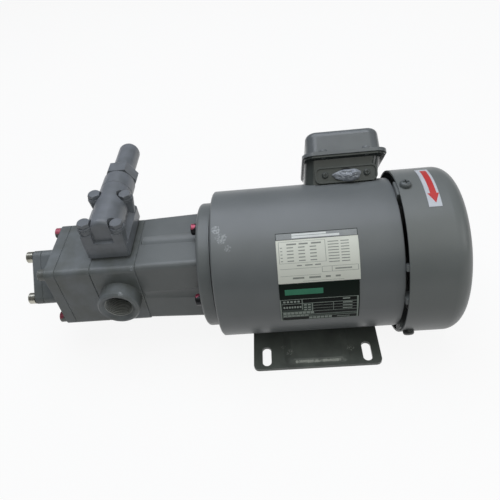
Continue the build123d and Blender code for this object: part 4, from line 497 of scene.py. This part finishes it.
# ---------------------------------------------------------------- studio
# A sheet of white paper as floor, a large soft lamp above and behind the object, and weak fills. The
# camera and mirror reflections see the paper almost white with the shadow kept, and the light that it
# throws back on the object is that of a duller sheet.
FLOOR_REACH = 6.0
corners = [(x * FLOOR_REACH, y * FLOOR_REACH, 0) for x, y in ((-1, -1), (1, -1), (1, 1), (-1, 1))]
floor_mesh = bpy.data.meshes.new("floor")
floor_mesh.from_pydata(corners, [], [(0, 1, 2, 3)])
floor = enter("floor", floor_mesh)
paper = bpy.data.materials.new("studio_paper")
paper.use_nodes = True
tree = paper.node_tree
tree.nodes.clear()
path = add(tree, "ShaderNodeLightPath")
seen = add(tree, "ShaderNodeMath", {"operation": "MAXIMUM"}, _0=path.outputs["Is Camera Ray"],
           _1=path.outputs["Is Glossy Ray"])
seen = add(tree, "ShaderNodeMath", {"operation": "MAXIMUM"}, _0=seen.outputs[0],
           _1=path.outputs["Is Transmission Ray"])
dull = add(tree, "ShaderNodeBsdfDiffuse", Color=linear("989898"))
pale = add(tree, "ShaderNodeBsdfDiffuse", Color=linear("f4f4f4"))
bright = add(tree, "ShaderNodeEmission", Color=linear("ffffff"), Strength=1.0)
shown = add(tree, "ShaderNodeMixShader", Fac=0.90, _1=pale.outputs[0], _2=bright.outputs[0])
mixed = add(tree, "ShaderNodeMixShader", Fac=seen.outputs[0], _1=dull.outputs[0],
            _2=shown.outputs[0])
add(tree, "ShaderNodeOutputMaterial", Surface=mixed.outputs[0])
floor_mesh.materials.append(paper)

# Round the floor all is white to the camera and dim to the object, so that the lamps shape it.
world = bpy.data.worlds.new("studio")
bpy.context.scene.world = world
world.use_nodes = True
tree = world.node_tree
tree.nodes.clear()
path = add(tree, "ShaderNodeLightPath")
ambient = add(tree, "ShaderNodeBackground", Color=linear("eceef0"), Strength=0.18)
white = add(tree, "ShaderNodeBackground", Color=linear("ffffff"), Strength=1.0)
seen = add(tree, "ShaderNodeMath", {"operation": "MAXIMUM"}, _0=path.outputs["Is Camera Ray"],
           _1=path.outputs["Is Transmission Ray"])
mixed = add(tree, "ShaderNodeMixShader", Fac=seen.outputs[0], _1=ambient.outputs[0],
            _2=white.outputs[0])
add(tree, "ShaderNodeOutputWorld", Surface=mixed.outputs[0])


def softbox(name, place, aim, size, power, tone):
    """Square area lamp at place, turned to aim."""
    lamp = bpy.data.lights.new(name, "AREA")
    lamp.shape = "SQUARE"
    lamp.size = size
    lamp.energy = power
    lamp.color = linear(tone)[:3]
    holder = bpy.data.objects.new(name, lamp)
    holder.rotation_euler = (Vector(aim) - Vector(place)).to_track_quat("-Z", "Y").to_euler()
    holder.location = place
    bpy.context.scene.collection.objects.link(holder)


MIDDLE = (0.0, -0.045, 0.07)
softbox("overhead_softbox", (-0.34, -0.24, 1.42), MIDDLE, 1.3, 13.8, "eff4ff")
softbox("front_softbox", (0.60, 0.25, 1.35), MIDDLE, 1.3, 5.0, "f8faf0")
softbox("side_softbox", (0.35, 1.35, 0.75), MIDDLE, 0.6, 2.4, "ffffff")

# ---------------------------------------------------------------- camera
# It stands on the delivery side, above the shaft, looks down on the object and is rolled a little, so
# that the shaft seems to climb towards the fan.
CAMERA_PLACE = (0.3307, -0.0208, 0.3894)
AZIMUTH, ELEVATION, ROLL = (math.radians(angle) for angle in (5.81, 42.63, -8.16))
camera = bpy.data.cameras.new("camera")
camera.lens = 36.64
camera.sensor_width = 36.0
camera.shift_x = 0.0044
camera.shift_y = 0.0024
camera.clip_end = 50.0
eye = bpy.data.objects.new("camera", camera)
back = Vector((math.cos(AZIMUTH) * math.cos(ELEVATION), math.sin(AZIMUTH) * math.cos(ELEVATION),
               math.sin(ELEVATION)))
level = (-back).cross(Vector((0, 0, 1))).normalized()
upright = level.cross(-back)
side = math.cos(ROLL) * level + math.sin(ROLL) * upright
up = math.cos(ROLL) * upright - math.sin(ROLL) * level
turn = Matrix((side, up, back)).transposed()
eye.matrix_world = Matrix.Translation(CAMERA_PLACE) @ turn.to_4x4()
bpy.context.scene.collection.objects.link(eye)
bpy.context.scene.camera = eye
bpy.context.scene.view_settings.view_transform = "Standard"
